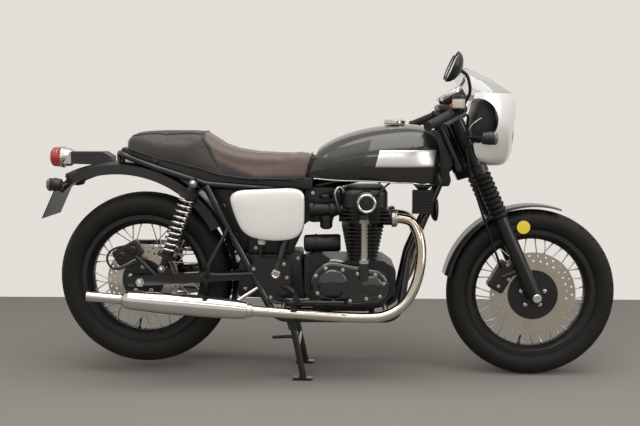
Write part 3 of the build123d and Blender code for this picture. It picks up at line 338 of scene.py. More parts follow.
def objectSpot(tree):
    return addNode(tree, "ShaderNodeTexCoord").outputs["Object"]


def axesOf(spot):
    return addNode(treeOf(spot), "ShaderNodeSeparateXYZ", {0: spot}).outputs


def distanceFrom(first, second, a, b):
    # distance of the two coordinates from the point (a, b)
    du, dv = minus(first, a), minus(second, b)
    return calc("SQRT", plus(times(du, du), times(dv, dv)))


def newGroup(name, inputs, outputs):
    group = bpy.data.node_groups.new(name, "ShaderNodeTree")
    for label, value in inputs:
        socket = group.interface.new_socket(label, in_out="INPUT", socket_type="NodeSocketFloat")
        socket.default_value = value
    for label in outputs:
        group.interface.new_socket(label, in_out="OUTPUT", socket_type="NodeSocketFloat")
    return group, group.nodes.new("NodeGroupInput"), group.nodes.new("NodeGroupOutput")


def useGroup(tree, group, **values):
    node = tree.nodes.new("ShaderNodeGroup")
    node.node_tree = group
    for label, value in values.items():
        node.inputs[label].default_value = value
    return node


def makeGrain():
    # fine height for bump and a broad tone for colour and roughness
    group, given, out = newGroup("surfaceGrain", [("Scale", 400.0), ("Broad", 9.0)], ["Height", "Tone"])
    spot = objectSpot(group)
    fine = addNode(group, "ShaderNodeTexNoise", {"Vector": spot, "Scale": given.outputs[0], "Detail": 3.0})
    broad = addNode(group, "ShaderNodeTexNoise", {"Vector": spot, "Scale": given.outputs[1], "Detail": 4.0})
    group.links.new(fine.outputs[0], out.inputs[0])
    group.links.new(broad.outputs[0], out.inputs[1])
    return group


def makeDust():
    # thin film that gathers on upward faces
    group, given, out = newGroup("dustFilm", [("Amount", 0.3), ("Scale", 30.0)], ["Mask"])
    spot = objectSpot(group)
    normal = addNode(group, "ShaderNodeNewGeometry").outputs["Normal"]
    upward = axesOf(normal)[2]
    speck = addNode(group, "ShaderNodeTexNoise", {"Vector": spot, "Scale": given.outputs[1],
        "Detail": 6.0}).outputs[0]
    patch = rampUp(speck, 0.35, 0.75)
    mask = times(calc("MAXIMUM", upward, 0.12), patch)
    group.links.new(times(mask, given.outputs[0]), out.inputs[0])
    return group


def makeFlake():
    # metallic specks in paint
    group, given, out = newGroup("paintFlake", [("Scale", 900.0)], ["Speck"])
    spot = objectSpot(group)
    cell = addNode(group, "ShaderNodeTexVoronoi", {"Vector": spot, "Scale": given.outputs[0]})
    group.links.new(axesOf(cell.outputs["Color"])[0], out.inputs[0])
    return group


def makeRingBrush():
    # concentric grinding marks about an axle along Y
    group, given, out = newGroup("ringBrush", [("CentreX", 0.0), ("CentreZ", 0.0), ("Scale", 900.0)],
        ["Height"])
    x, y, z = axesOf(objectSpot(group))
    radius = distanceFrom(x, z, given.outputs[0], given.outputs[1])
    lane = addNode(group, "ShaderNodeCombineXYZ", {0: times(radius, given.outputs[2])})
    marks = addNode(group, "ShaderNodeTexNoise", {"Vector": lane.outputs[0], "Scale": 1.0, "Detail": 2.0})
    group.links.new(marks.outputs[0], out.inputs[0])
    return group


grain = makeGrain()
dust = makeDust()
flake = makeFlake()
ringBrush = makeRingBrush()


def startFinish(name, **sockets):
    material = bpy.data.materials.new(name)
    material.use_nodes = True
    tree = material.node_tree
    shader = tree.nodes["Principled BSDF"]
    for label, value in sockets.items():
        shader.inputs[label.replace("_", " ")].default_value = value
    return material, tree, shader


def feed(shader, label, value):
    shader.id_data.links.new(value, shader.inputs[label])


def bumpInto(shader, height, strength, distance):
    bump = addNode(treeOf(height), "ShaderNodeBump",
        {"Height": height, "Strength": strength, "Distance": distance})
    feed(shader, "Normal", bump.outputs[0])


def coated(name, colour, rough, scale=500.0, bump=0.05, metallic=0.0, coat=0.0, dusty=0.25, tint=0.25,
        **sockets):
    # paint, plastic and coated castings: grain, tone and a film of dust
    material, tree, shader = startFinish(name, Metallic=metallic, Coat_Weight=coat, Coat_Roughness=0.08,
        **sockets)
    marks = useGroup(tree, grain, Scale=scale)
    film = useGroup(tree, dust, Amount=dusty)
    base = mixColour(marks.outputs["Tone"], shaded(colour, 1 - tint), shaded(colour, 1 + tint))
    dusted = mixColour(film.outputs[0], base, [c * 0.6 + 0.05 for c in colour] + [1])
    feed(shader, "Base Color", dusted)
    sheen = mixValue(marks.outputs["Tone"], max(rough - 0.07, 0.02), rough + 0.07)
    feed(shader, "Roughness", plus(sheen, times(film.outputs[0], 0.5)))
    bumpInto(shader, marks.outputs["Height"], bump, 0.001)
    return material


def bareMetal(name, colour, rough, scale=60.0, bump=0.02, smear=0.12):
    material, tree, shader = startFinish(name, Metallic=1.0)
    marks = useGroup(tree, grain, Scale=scale, Broad=14.0)
    tone = marks.outputs["Tone"]
    feed(shader, "Base Color", mixColour(tone, shaded(colour, 0.86), [*colour, 1]))
    feed(shader, "Roughness", mixValue(tone, rough, rough + smear))
    bumpInto(shader, marks.outputs["Height"], bump, 0.0005)
    return material


def wheelFinish(name, axleX, axleZ, hubR, rimR):
    # black rim and hub, steel spokes between the two radii
    material, tree, shader = startFinish(name)
    x, y, z = axesOf(objectSpot(tree))
    radius = distanceFrom(x, z, axleX, axleZ)
    spoke = between(radius, hubR, rimR, 0.0004)
    marks = useGroup(tree, grain, Scale=500.0)
    film = useGroup(tree, dust, Amount=0.3)
    black = mixColour(marks.outputs["Tone"], [0.005, 0.005, 0.0052, 1], [0.011, 0.011, 0.0114, 1])
    black = mixColour(film.outputs[0], black, [0.05, 0.047, 0.042, 1])
    feed(shader, "Base Color", mixColour(spoke, black, [0.52, 0.5, 0.47, 1]))
    feed(shader, "Metallic", spoke)
    feed(shader, "Roughness", mixValue(marks.outputs["Tone"], 0.22, 0.38))
    bumpInto(shader, marks.outputs["Height"], 0.04, 0.0005)
    return material


def discFinish(name, axleX, axleZ, carrierR):
    # ground steel ring on a black carrier
    material, tree, shader = startFinish(name)
    x, y, z = axesOf(objectSpot(tree))
    radius = distanceFrom(x, z, axleX, axleZ)
    ring = rampUp(radius, carrierR - 0.0003, carrierR + 0.0003)
    marks = useGroup(tree, ringBrush, CentreX=axleX, CentreZ=axleZ, Scale=1400.0)
    broad = useGroup(tree, grain, Scale=300.0, Broad=12.0)
    steel = mixColour(marks.outputs[0], [0.40, 0.37, 0.32, 1], [0.70, 0.65, 0.56, 1])
    feed(shader, "Base Color", mixColour(ring, [0.007, 0.007, 0.0072, 1], steel))
    feed(shader, "Metallic", ring)
    feed(shader, "Roughness", mixValue(broad.outputs["Tone"], 0.24, 0.42))
    bumpInto(shader, marks.outputs[0], 0.12, 0.0004)
    return material


tankLook = {
    # metres; edges are where a part of the pattern starts and is full
    "bandMiddle": 0.2215, "bandHalf": 0.068, "bandNarrow": 0.19, "bandSoft": 0.0004, "stripeWide": 0.006,
    "stripeSoft": 0.0005, "kneeFoot": 0.760, "rearLean": 0.426, "rearEdge": (-0.0495, -0.0455),
    "frontLean": 0.314, "frontEdge": (0.1065, 0.1025), "topSlope": 0.237, "topEdge": (0.865, 0.860),
}


def tankFinish(name):
    # gunmetal with a paler top band, a dark pinstripe along its edge and a dull knee panel
    s = tankLook
    material, tree, shader = startFinish(name, Coat_Roughness=0.1)
    x, y, z = axesOf(objectSpot(tree))
    # half width of the band, narrower towards both ends
    along = minus(x, s["bandMiddle"])
    narrow = times(times(along, along), s["bandNarrow"])
    edge = minus(minus(s["bandHalf"], narrow), calc("ABSOLUTE", y))
    band = rampUp(edge, -s["bandSoft"], s["bandSoft"])
    stripe = between(edge, -s["stripeWide"], 0.0, s["stripeSoft"])
    rise = minus(z, s["kneeFoot"])
    rear = rampUp(minus(x, times(rise, s["rearLean"])), *s["rearEdge"])
    front = rampUp(minus(x, times(rise, s["frontLean"])), *s["frontEdge"])
    top = rampUp(minus(z, times(x, s["topSlope"])), *s["topEdge"])
    knee = times(times(rear, front), top)
    speck = useGroup(tree, flake, Scale=1400.0).outputs[0]
    broad = useGroup(tree, grain, Scale=500.0, Broad=5.0)
    paint = mixColour(speck, [0.016, 0.0148, 0.0112, 1], [0.034, 0.0316, 0.0252, 1])
    pale = mixColour(speck, [0.17, 0.165, 0.145, 1], [0.25, 0.24, 0.215, 1])
    dull = mixColour(broad.outputs["Tone"], [0.008, 0.0074, 0.006, 1], [0.014, 0.013, 0.0104, 1])
    colour = mixColour(band, paint, pale)
    colour = mixColour(stripe, colour, [0.008, 0.008, 0.007, 1])
    feed(shader, "Base Color", mixColour(knee, colour, dull))
    feed(shader, "Metallic", times(minus(1.0, knee), 0.75))
    feed(shader, "Coat Weight", mixValue(knee, 1.0, 0.15))
    feed(shader, "Roughness", mixValue(knee, 0.32, 0.55))
    bumpInto(shader, times(broad.outputs["Height"], knee), 0.08, 0.0006)
    return material


seatLook = {
    # metres; edges are where a part of the pattern starts and is full
    "humpTop": 0.92, "humpLean": 0.53, "humpEdge": (-0.4705, -0.4665), "shadeBack": 0.4215, "shadeSlope": 0.423,
    "shadeEdge": (0.838, 0.812), "footEdge": (0.775, 0.757), "creaseEdge": (0.02, 0.22), "creaseShadeShare": 0.75,
}


def seatFinish(name):
    # grained cover: dark hump and brown front part; a painted shade darkens the front part low on its sides,
    # and the seat's foot is a black edge
    s = seatLook
    material, tree, shader = startFinish(name, Sheen_Weight=0.15, Sheen_Roughness=0.4)
    spot = objectSpot(tree)
    x, y, z = axesOf(spot)
    ahead = rampUp(plus(x, times(minus(z, s["humpTop"]), s["humpLean"])), *s["humpEdge"])
    # painted shade low on the sides of the front part, below a line that falls towards the front
    low = rampUp(plus(z, times(plus(x, s["shadeBack"]), s["shadeSlope"])), *s["shadeEdge"])
    foot = rampUp(z, *s["footEdge"])
    cell = addNode(tree, "ShaderNodeTexVoronoi", {"Vector": spot, "Scale": 420.0}, feature="DISTANCE_TO_EDGE")
    crease = rampUp(cell.outputs["Distance"], *s["creaseEdge"])
    broad = useGroup(tree, grain, Scale=700.0, Broad=14.0)
    film = useGroup(tree, dust, Amount=0.12)
    tone = broad.outputs["Tone"]
    hump = mixColour(tone, [0.028, 0.025, 0.021, 1], [0.052, 0.047, 0.039, 1])
    brown = mixColour(tone, [0.096, 0.067, 0.054, 1], [0.140, 0.099, 0.082, 1])
    # one dark colour serves the painted shade low on the sides and the real black edge at the seat's foot
    lowShadeAndFootEdge = mixColour(tone, [0.014, 0.012, 0.011, 1], [0.026, 0.022, 0.019, 1])
    front = mixColour(calc("MAXIMUM", low, foot), brown, lowShadeAndFootEdge)
    colour = mixColour(ahead, hump, front)
    colour = mixColour(film.outputs[0], colour, [0.2, 0.18, 0.16, 1])
    # painted shade: the creases between the grain's cells are darkened; the same crease mask also drives the
    # bump
    creaseShade = mixColour(crease, [0.010, 0.008, 0.007, 1], colour)
    feed(shader, "Base Color", mixColour(s["creaseShadeShare"], creaseShade, colour))
    feed(shader, "Roughness", mixValue(tone, 0.36, 0.52))
    height = plus(crease, times(broad.outputs["Height"], 0.4))
    bumpInto(shader, height, 0.25, 0.0006)
    return material


def heatedChrome(name):
    # polished pipe, browned where it bends away from the port
    material, tree, shader = startFinish(name, Metallic=1.0)
    x, y, z = axesOf(objectSpot(tree))
    broad = useGroup(tree, grain, Scale=60.0, Broad=18.0)
    tone = broad.outputs["Tone"]
    hotAlong, hotUp = (0.12, 0.30), (0.24, 0.50)
    hot = times(rampUp(x, *hotAlong), rampUp(z, *hotUp))
    hot = times(hot, mixValue(tone, 0.55, 1.0))
    bright = mixColour(tone, [0.58, 0.55, 0.49, 1], [0.72, 0.69, 0.63, 1])
    feed(shader, "Base Color", mixColour(hot, bright, [0.42, 0.36, 0.26, 1]))
    feed(shader, "Roughness", mixValue(tone, 0.05, 0.16))
    bumpInto(shader, broad.outputs["Height"], 0.02, 0.0005)
    return material


def splitFinish(name, axis, level, lowLook, highLook):
    # two finishes on one casting, parted at a level of one axis; a look is colour, metallic, roughness
    material, tree, shader = startFinish(name)
    along = axesOf(objectSpot(tree))["xyz".index(axis)]
    over = rampUp(along, level - 0.0004, level + 0.0004)
    broad = useGroup(tree, grain, Scale=600.0, Broad=14.0)
    tone = broad.outputs["Tone"]
    looks = [mixColour(tone, shaded(look[0], 0.8), shaded(look[0], 1.15)) for look in (lowLook, highLook)]
    feed(shader, "Base Color", mixColour(over, *looks))
    feed(shader, "Metallic", mixValue(over, lowLook[1], highLook[1]))
    sheen = mixValue(over, lowLook[2], highLook[2])
    feed(shader, "Roughness", plus(sheen, times(tone, 0.08)))
    bumpInto(shader, broad.outputs["Height"], 0.05, 0.0004)
    return material


def lampGlass(name, colour, rough=0.05):
    material, tree, shader = startFinish(name, Transmission_Weight=1.0, IOR=1.49)
    marks = useGroup(tree, grain, Scale=260.0, Broad=30.0)
    shade = mixColour(marks.outputs["Tone"], shaded(colour, 0.9), [*colour, 1])
    feed(shader, "Base Color", shade)
    feed(shader, "Roughness", mixValue(marks.outputs["Tone"], rough, rough + 0.03))
    return material


coatSettings = {
    # name: colour, roughness, what else differs
    "frameBlack": ((0.005, 0.005, 0.0052), 0.2, dict(coat=0.4, dusty=0.08)),
    "forkBlack": ((0.006, 0.006, 0.0062), 0.3, dict(dusty=0.08)),
    "plasticBlack": ((0.007, 0.007, 0.0072), 0.42, dict(scale=1500.0, bump=0.12, dusty=0.1)),
    "guardBlack": ((0.006, 0.006, 0.0062), 0.28, dict(coat=0.3, dusty=0.1)),
    "engineBlack": ((0.007, 0.0067, 0.0064), 0.38, dict(scale=1300.0, bump=0.2, dusty=0.12)),
    "coverBlack": ((0.005, 0.005, 0.0052), 0.1, dict(coat=1.0, dusty=0.05)),
    "gripRubber": ((0.008, 0.008, 0.008), 0.6, dict(scale=900.0, bump=0.2, dusty=0.1)),
    "gaiterRubber": ((0.005, 0.0049, 0.0047), 0.5, dict(scale=700.0, bump=0.15, dusty=0.1,
        Specular_IOR_Level=0.25)),
    "tyreRubber": ((0.009, 0.0078, 0.0064), 0.62, dict(scale=800.0, bump=0.25, dusty=0.15,
        Specular_IOR_Level=0.25)),
    "silverPaint": ((0.82, 0.805, 0.775), 0.3, dict(coat=1.0, metallic=0.3, dusty=0.05, tint=0.06, bump=0.0)),
    "seamBlack": ((0.012, 0.011, 0.011), 0.45, dict(scale=1200.0, bump=0.2, dusty=0.1)),
    "badgeSilver": ((0.66, 0.65, 0.63), 0.3, dict(metallic=0.85, coat=0.6, dusty=0.05, tint=0.05, bump=0.02)),
    "lensRed": ((0.32, 0.008, 0.008), 0.12, dict(coat=1.0, dusty=0.05, bump=0.02, tint=0.15)),
    "lensSmoke": ((0.09, 0.078, 0.066), 0.14, dict(coat=1.0, dusty=0.05, bump=0.02, tint=0.15)),
    "reflectorAmber": ((0.82, 0.62, 0.04), 0.2, dict(scale=900.0, coat=1.0, dusty=0.05, bump=0.3, tint=0.12)),
    "cupMilky": ((0.62, 0.58, 0.5), 0.28, dict(dusty=0.05, tint=0.08, bump=0.02)),
    "switchRed": ((0.5, 0.02, 0.015), 0.35, dict(dusty=0.05, tint=0.1, bump=0.05)),
    "dialBlack": ((0.012, 0.012, 0.013), 0.55, dict(scale=1500.0, dusty=0.05)),
    "markWhite": ((0.8, 0.8, 0.77), 0.5, dict(dusty=0.02, tint=0.03, bump=0.02)),
    "plateBlank": ((0.72, 0.71, 0.66), 0.4, dict(dusty=0.2, tint=0.05)),
}
finish = {name: coated(name, colour, rough, **more) for name, (colour, rough, more) in coatSettings.items()}
finish.update({
    "tankPaint": tankFinish("tankPaint"),
    "seatCover": seatFinish("seatCover"),
    "heatedChrome": heatedChrome("heatedChrome"),
    "bevelChrome": splitFinish("bevelChrome", "z", 0.6302, ((0.78, 0.77, 0.75), 1.0, 0.05),
        ((0.012, 0.012, 0.013), 0.0, 0.25)),
    "tailBody": splitFinish("tailBody", "x", -0.9795, ((0.6, 0.59, 0.57), 1.0, 0.18),
        ((0.016, 0.016, 0.017), 0.0, 0.35)),
    "chrome": bareMetal("chrome", (0.68, 0.67, 0.65), 0.08),
    "alloy": bareMetal("alloy", (0.62, 0.61, 0.6), 0.3, scale=400.0, bump=0.05),
    "driveSteel": bareMetal("driveSteel", (0.3, 0.28, 0.25), 0.34, scale=300.0, bump=0.1),
    "screenClear": lampGlass("screenClear", (0.97, 0.98, 0.98), 0.01),
    "lampClear": lampGlass("lampClear", (0.93, 0.94, 0.95)),
    "mirrorGlass": bareMetal("mirrorGlass", (0.86, 0.87, 0.88), 0.015, smear=0.02, bump=0.0),
})
frontAxle = at(1465, 0, 317)
rearAxle = at(0, 0, 370)
finish["frontWheel"] = wheelFinish("frontWheel", frontAxle.x, frontAxle.z, 0.0605, 0.2035)
finish["rearWheel"] = wheelFinish("rearWheel", rearAxle.x, rearAxle.z, 0.0765, 0.2035)
finish["frontDisc"] = discFinish("frontDisc", frontAxle.x, frontAxle.z, 0.0938)
finish["rearDisc"] = discFinish("rearDisc", rearAxle.x, rearAxle.z, 0.0793)

nodeFinish = {
    "frameBlack": ["frame_backbone", "seat_rails", "frame_cradle", "swingarm", "centre_stand", "side_stand",
        "rider_footrests"],
    "forkBlack": ["yokes", "fork_legs", "handlebar", "hand_levers", "front_calliper", "rear_calliper",
        "shock_dampers", "passenger_footrests", "foot_controls"],
    "plasticBlack": ["mirrors", "instruments", "airbox", "chain_guard", "front_indicators", "rear_indicators",
        "plate_holder"],
    "guardBlack": ["front_mudguard", "rear_mudguard"],
    "engineBlack": ["crankcase", "cylinder_barrel", "cylinder_head", "throttle_bodies", "rectifier"],
    "coverBlack": ["engine_covers"],
    "gripRubber": ["grips"],
    "gaiterRubber": ["fork_gaiters", "front_brake_hose"],
    "tyreRubber": ["front_tyre", "rear_tyre"],
    "silverPaint": ["fairing", "side_covers"],
    "tankPaint": ["fuel_tank"],
    "seatCover": ["seat"],
    "chrome": ["silencers", "fuel_cap", "shock_springs"],
    "heatedChrome": ["headers"],
    "bevelChrome": ["bevel_drive"],
    "alloy": ["front_axle", "rear_axle"],
    "driveSteel": ["chain", "rear_sprocket"],
    "screenClear": ["windscreen"],
    "lampClear": ["headlamp"],
    "tailBody": ["tail_lamp"],
    "frontWheel": ["front_wire_wheel"],
    "rearWheel": ["rear_wire_wheel"],
    "frontDisc": ["front_disc"],
    "rearDisc": ["rear_disc"],
}
for label, names in nodeFinish.items():
    for name in names:
        cadNodes[name].data.materials.clear()
        cadNodes[name].data.materials.append(finish[label])
print("finishes on", len(cadNodes), "nodes")

# tyres with a cut tread

tyreSettings = {
    "front_tyre": {"body": "front_wheel", "centre": frontAxle, "radius": 317, "half": 50, "bead": 29.7},
    "rear_tyre": {"body": "rear_wheel", "centre": rearAxle, "radius": 328, "half": 65, "bead": 36.7},
}
treadSettings = {
    "rimEdge": 242, "beadR": 229.3, "columns": 270, "every": 9, "slant": 8.0, "depth": 3.5,
    "slantEnd": 0.9, "lanes": (0.08, 0.15, 0.80), "shoulder": 0.26, "stagger": 4,
    # half profile as (share of the half width, share of the height over the rim edge)
    "wall": [(0.80, 0.10), (0.93, 0.24), (1.0, 0.42), (0.985, 0.55), (0.94, 0.66), (0.86, 0.76)],
    "crown": [(0.74, 0.845), (0.60, 0.91), (0.44, 0.957), (0.28, 0.985), (0.15, 0.996), (0.08, 1.0)],
}


def makeTyre(name, s):
    t = treadSettings
    height = s["radius"] - t["rimEdge"]
    halfLine = [(s["bead"], t["beadR"]), (s["bead"], t["rimEdge"])]
    halfLine += [(share * s["half"], t["rimEdge"] + up * height) for share, up in t["wall"] + t["crown"]]
    line = halfLine + [(-y, r) for y, r in reversed(halfLine)] + halfLine[:1]

    def leanAt(width):
        return math.radians(t["slant"]) * min(width / s["half"], t["slantEnd"])

    points = []
    for y, r in line:
        lean = leanAt(abs(y))
        points.append(Vector((r * math.cos(lean), y, r * math.sin(lean))) / 1000)
    obj = openLine(name + "Tread", points)
    pickAll()
    bpy.ops.mesh.spin(steps=t["columns"], angle=2 * math.pi, center=(0, 0, 0), axis=(0, 1, 0))
    tidyShell()
    step = 2 * math.pi / t["columns"]
    core, inner, outer = (s["half"] * share / 1000 for share in t["lanes"])

    def isGroove(centre, normal):
        width = abs(centre.y)
        if math.hypot(centre.x, centre.z) < (s["radius"] - height * t["shoulder"]) / 1000:
            return False
        if core < width < inner:
            return True
        column = math.floor((math.atan2(centre.z, centre.x) - leanAt(width * 1000)) / step)
        shift = t["stagger"] if centre.y > 0 else 0
        return inner < width < outer and (column + shift) % t["every"] == 0

    pickNone()
    pickFaces(obj, isGroove)
    bpy.ops.mesh.extrude_region_shrink_fatten(TRANSFORM_OT_shrink_fatten={"value": -t["depth"] / 1000})
    closeEdit()
    placeAlong(obj, s["centre"], (0, 0, 1))
    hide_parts(name)
    dress(obj, "tyreRubber", s["body"], 30)


for name, s in tyreSettings.items():
    makeTyre(name, s)
print("tyres cut")

# spoke nipples, valves and disc bolts

wheelSettings = {
    "front": {"body": "front_wheel", "centre": frontAxle, "half": 33, "flangeR": 60, "flangeY": 33,
        "discY": -60.5, "boltR": 46},
    "rear": {"body": "rear_wheel", "centre": rearAxle, "half": 40, "flangeR": 76, "flangeY": 40, "discY": -72.5,
        "boltR": 50},
}
spokeSettings = {"perSide": 18, "lace": 52, "rimR": 206, "length": 16, "sunk": 3, "turn": 5, "rootIn": 5,
    "step": 2, "rimShare": 0.2, "valveAngle": -100, "valveR": 0.205, "bolts": 5, "boltTurn": 18}


def makeNipples(label, s):
    p = spokeSettings
    nipple = turnedPiece(label + "Nipples", [(0, 0), (0, 2.7), (9, 2.9), (10, 4.2), (p["length"], 4.2)],
        steps=6)
    places = []
    for side in (1, -1):
        for index in range(p["perSide"]):
            lead = 1 if index % 2 else -1
            atRim = math.radians(index * 360 / p["perSide"] + side * p["turn"])
            atHub = atRim + lead * math.radians(p["lace"])
            rootR = s["flangeR"] - p["rootIn"]
            root = Vector((rootR * math.cos(atHub), side * (s["flangeY"] + lead * p["step"]),
                rootR * math.sin(atHub)))
            tip = Vector((p["rimR"] * math.cos(atRim), side * s["half"] * p["rimShare"],
                p["rimR"] * math.sin(atRim)))
            way = (tip - root).normalized()
            places.append((s["centre"] + (tip - way * (p["length"] - p["sunk"])) / 1000, way))
    dress(copiesOf(nipple, places), "alloy", s["body"])


def makeValve(label, s):
    angle = math.radians(spokeSettings["valveAngle"])
    way = Vector((-math.cos(angle), 0, -math.sin(angle)))
    base = s["centre"] - way * spokeSettings["valveR"]
    fitTurned(label + "Valve", [(-4, 0), (-4, 6), (3, 6), (5, 3.2), (24, 3.2), (25, 4.4), (36, 4.4), (38, 0)],
        10, [(base, way)], "gripRubber", s["body"])


def makeDiscBolts(label, s):
    places = []
    for index in range(spokeSettings["bolts"]):
        angle = math.radians(index * 360 / spokeSettings["bolts"] + spokeSettings["boltTurn"])
        spot = Vector((s["boltR"] * math.cos(angle), s["discY"], s["boltR"] * math.sin(angle))) / 1000
        places.append((s["centre"] + spot, (0, -1, 0)))
    fitTurned(label + "DiscBolts", [(0, 0), (0, 8), (2, 8), (2.4, 6.4), (6, 6.2), (7, 4.6), (5, 3.2), (5, 0)],
        12, places, "chrome", s["body"])


for label, s in wheelSettings.items():
    makeNipples(label, s)
    makeValve(label, s)
    makeDiscBolts(label, s)
print("wheel trim made")

# shock springs

springSettings = {"top": (211, 160, 742), "foot": (91, 160, 430), "from": 60.5, "to": 272, "turns": 10,
    "coilR": 26.5, "wireR": 4.4, "steps": 24}


def makeSprings():
    s = springSettings
    made = []
    for side in (1, -1):
        coil = startPiece(bpy.ops.mesh.primitive_circle_add, "shockCoil", vertices=10, radius=s["wireR"] / 1000)
        openEdit(coil, "VERT")
        pickAll()
        bpy.ops.transform.rotate(value=math.pi / 2, orient_axis="X", center_override=(0, 0, 0))
        bpy.ops.transform.translate(value=(s["coilR"] / 1000, 0, 0))
        closeEdit()
        rise = (s["to"] - s["from"]) / 1000
        useModifier(coil, "SCREW", screw_offset=rise / s["turns"], iterations=s["turns"], steps=s["steps"],
            render_steps=s["steps"], axis="Z")
        openEdit(coil)
        tidyShell()
        pickNone()
        bpy.ops.mesh.select_mode(type="EDGE")
        bpy.ops.mesh.select_non_manifold()
        bpy.ops.mesh.edge_face_add()
        closeEdit()
        foot = onSide(side, s["foot"])
        top = onSide(side, s["top"])
        way = (top - foot).normalized()
        placeAlong(coil, foot + way * s["from"] / 1000, way)
        made.append(coil)
    whole = joinAll(made)
    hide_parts("shock_springs")
    dress(whole, "chrome", "frame", 60)


makeSprings()
print("springs wound")

# headlamp: bowl, reflector, lens and rim

lampSettings = {"back": (1242, 0, 935), "way": (1, 0, 0)}


def makeHeadlamp():
    base, way = at(*lampSettings["back"]), lampSettings["way"]
    bowl = fitTurned("lampBowl", [(0, 0), (0, 30), (4, 36), (30, 66), (70, 78), (107, 83), (109, 80), (71, 74),
        (34, 62), (10, 34), (10, 0)], 56, [(base, way)], "forkBlack", "steering")
    fitTurned("lampRim", [(108, 80), (108, 83.5), (110, 85), (124, 85), (129, 83), (133, 79), (133, 76),
        (129, 75.5), (118, 77), (108, 80)], 64, [(base, way)], "chrome", "steering")
    fitTurned("lampReflector", [(84, 0), (84, 14), (90, 36), (104, 60), (121, 76), (121, 77), (102, 61),
        (88, 36), (82, 14), (82, 0)], 48, [(base, way)], "chrome", "steering")
    fitTurned("lampLens", [(126, 76), (130, 74), (134, 56), (136, 30), (136.5, 0), (133.5, 0), (133, 30),
        (131, 56), (126, 74)], 56, [(base, way)], "lampClear", "steering", 50)
    fitTurned("lampBulb", [(84, 0), (84, 6), (96, 7), (100, 10), (110, 10), (116, 6), (118, 0)], 16,
        [(base, way)], "lampClear", "steering", 50)
    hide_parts("headlamp")


makeHeadlamp()
print("headlamp made")

# seat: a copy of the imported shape, swelled by cloth, then sewn

seatSettings = {"topLine": [(-80, 884), (-60, 902), (-30, 916), (20, 923), (80, 926), (200, 926), (236, 921),
    (266, 902), (307, 875), (358, 857), (435, 845), (520, 841), (600, 846), (660, 852)], "base": 752,
    "tail": -40, "tailShare": 0.4, "leastRise": 0.02, "footNormal": -0.6, "voxel": 0.006, "start": -0.004,
    "pressure": 4.0, "frames": 20, "reach": 0.009, "piping": 0.0032,
    "pleat": [(300, -140, 800), (262, -132, 868), (241, -112, 912), (236, -60, 932), (235, 0, 934),
    (236, 60, 932), (241, 112, 912), (262, 132, 868), (300, 140, 800)],
    "edge": [(-56, 92, 868), (60, 114, 830), (200, 122, 796), (290, 128, 770), (400, 130, 756), (520, 124, 752),
    (612, 110, 758)], "ridge": [(-30, 76, 912), (60, 84, 930), (150, 88, 930), (236, 92, 922)]}


def seamOn(name, target, points, radius, cuts=14):
    # a line laid on the target's skin and given a round section
    obj = openLine(name, points)
    pickAll()
    bpy.ops.mesh.subdivide(number_cuts=cuts)
    closeEdit()
    useModifier(obj, "SHRINKWRAP", target=target, wrap_method="NEAREST_SURFACEPOINT")
    useModifier(obj, "SMOOTH", factor=0.5, iterations=3)
    pickOnly(obj)
    bpy.ops.object.convert(target="CURVE")
    obj = bpy.context.active_object
    obj.data.bevel_depth = radius
    obj.data.bevel_resolution = 2
    obj.data.use_fill_caps = True
    bpy.ops.object.convert(target="MESH")
    obj = bpy.context.active_object
    mendShell(obj)
    return obj


def lineAt(points, x):
    # height of a line of (x, height) points
    for (x0, low), (x1, high) in zip(points, points[1:]):
        if x <= x1:
            return low + (high - low) * max(x - x0, 0) / (x1 - x0)
    return points[-1][1]


def swell(pad, s):
    scene = bpy.context.scene
    before = [vert.co.copy() for vert in pad.data.vertices]
    cloth = pad.modifiers.new("Cloth", "CLOTH")
    cloth.settings.quality = 5
    cloth.settings.use_pressure = True
    cloth.settings.uniform_pressure_force = s["pressure"]
    cloth.settings.effector_weights.gravity = 0
    cloth.settings.vertex_group_mass = "seatFoot"
    for step in range(1, s["frames"] + 1):
        scene.frame_set(step)
    pickOnly(pad)
    bpy.ops.object.modifier_apply(modifier="Cloth")
    scene.frame_set(1)
    for vert, old in zip(pad.data.vertices, before):
        move = vert.co - old
        if move.length > s["reach"]:
            vert.co = old + move.normalized() * s["reach"]


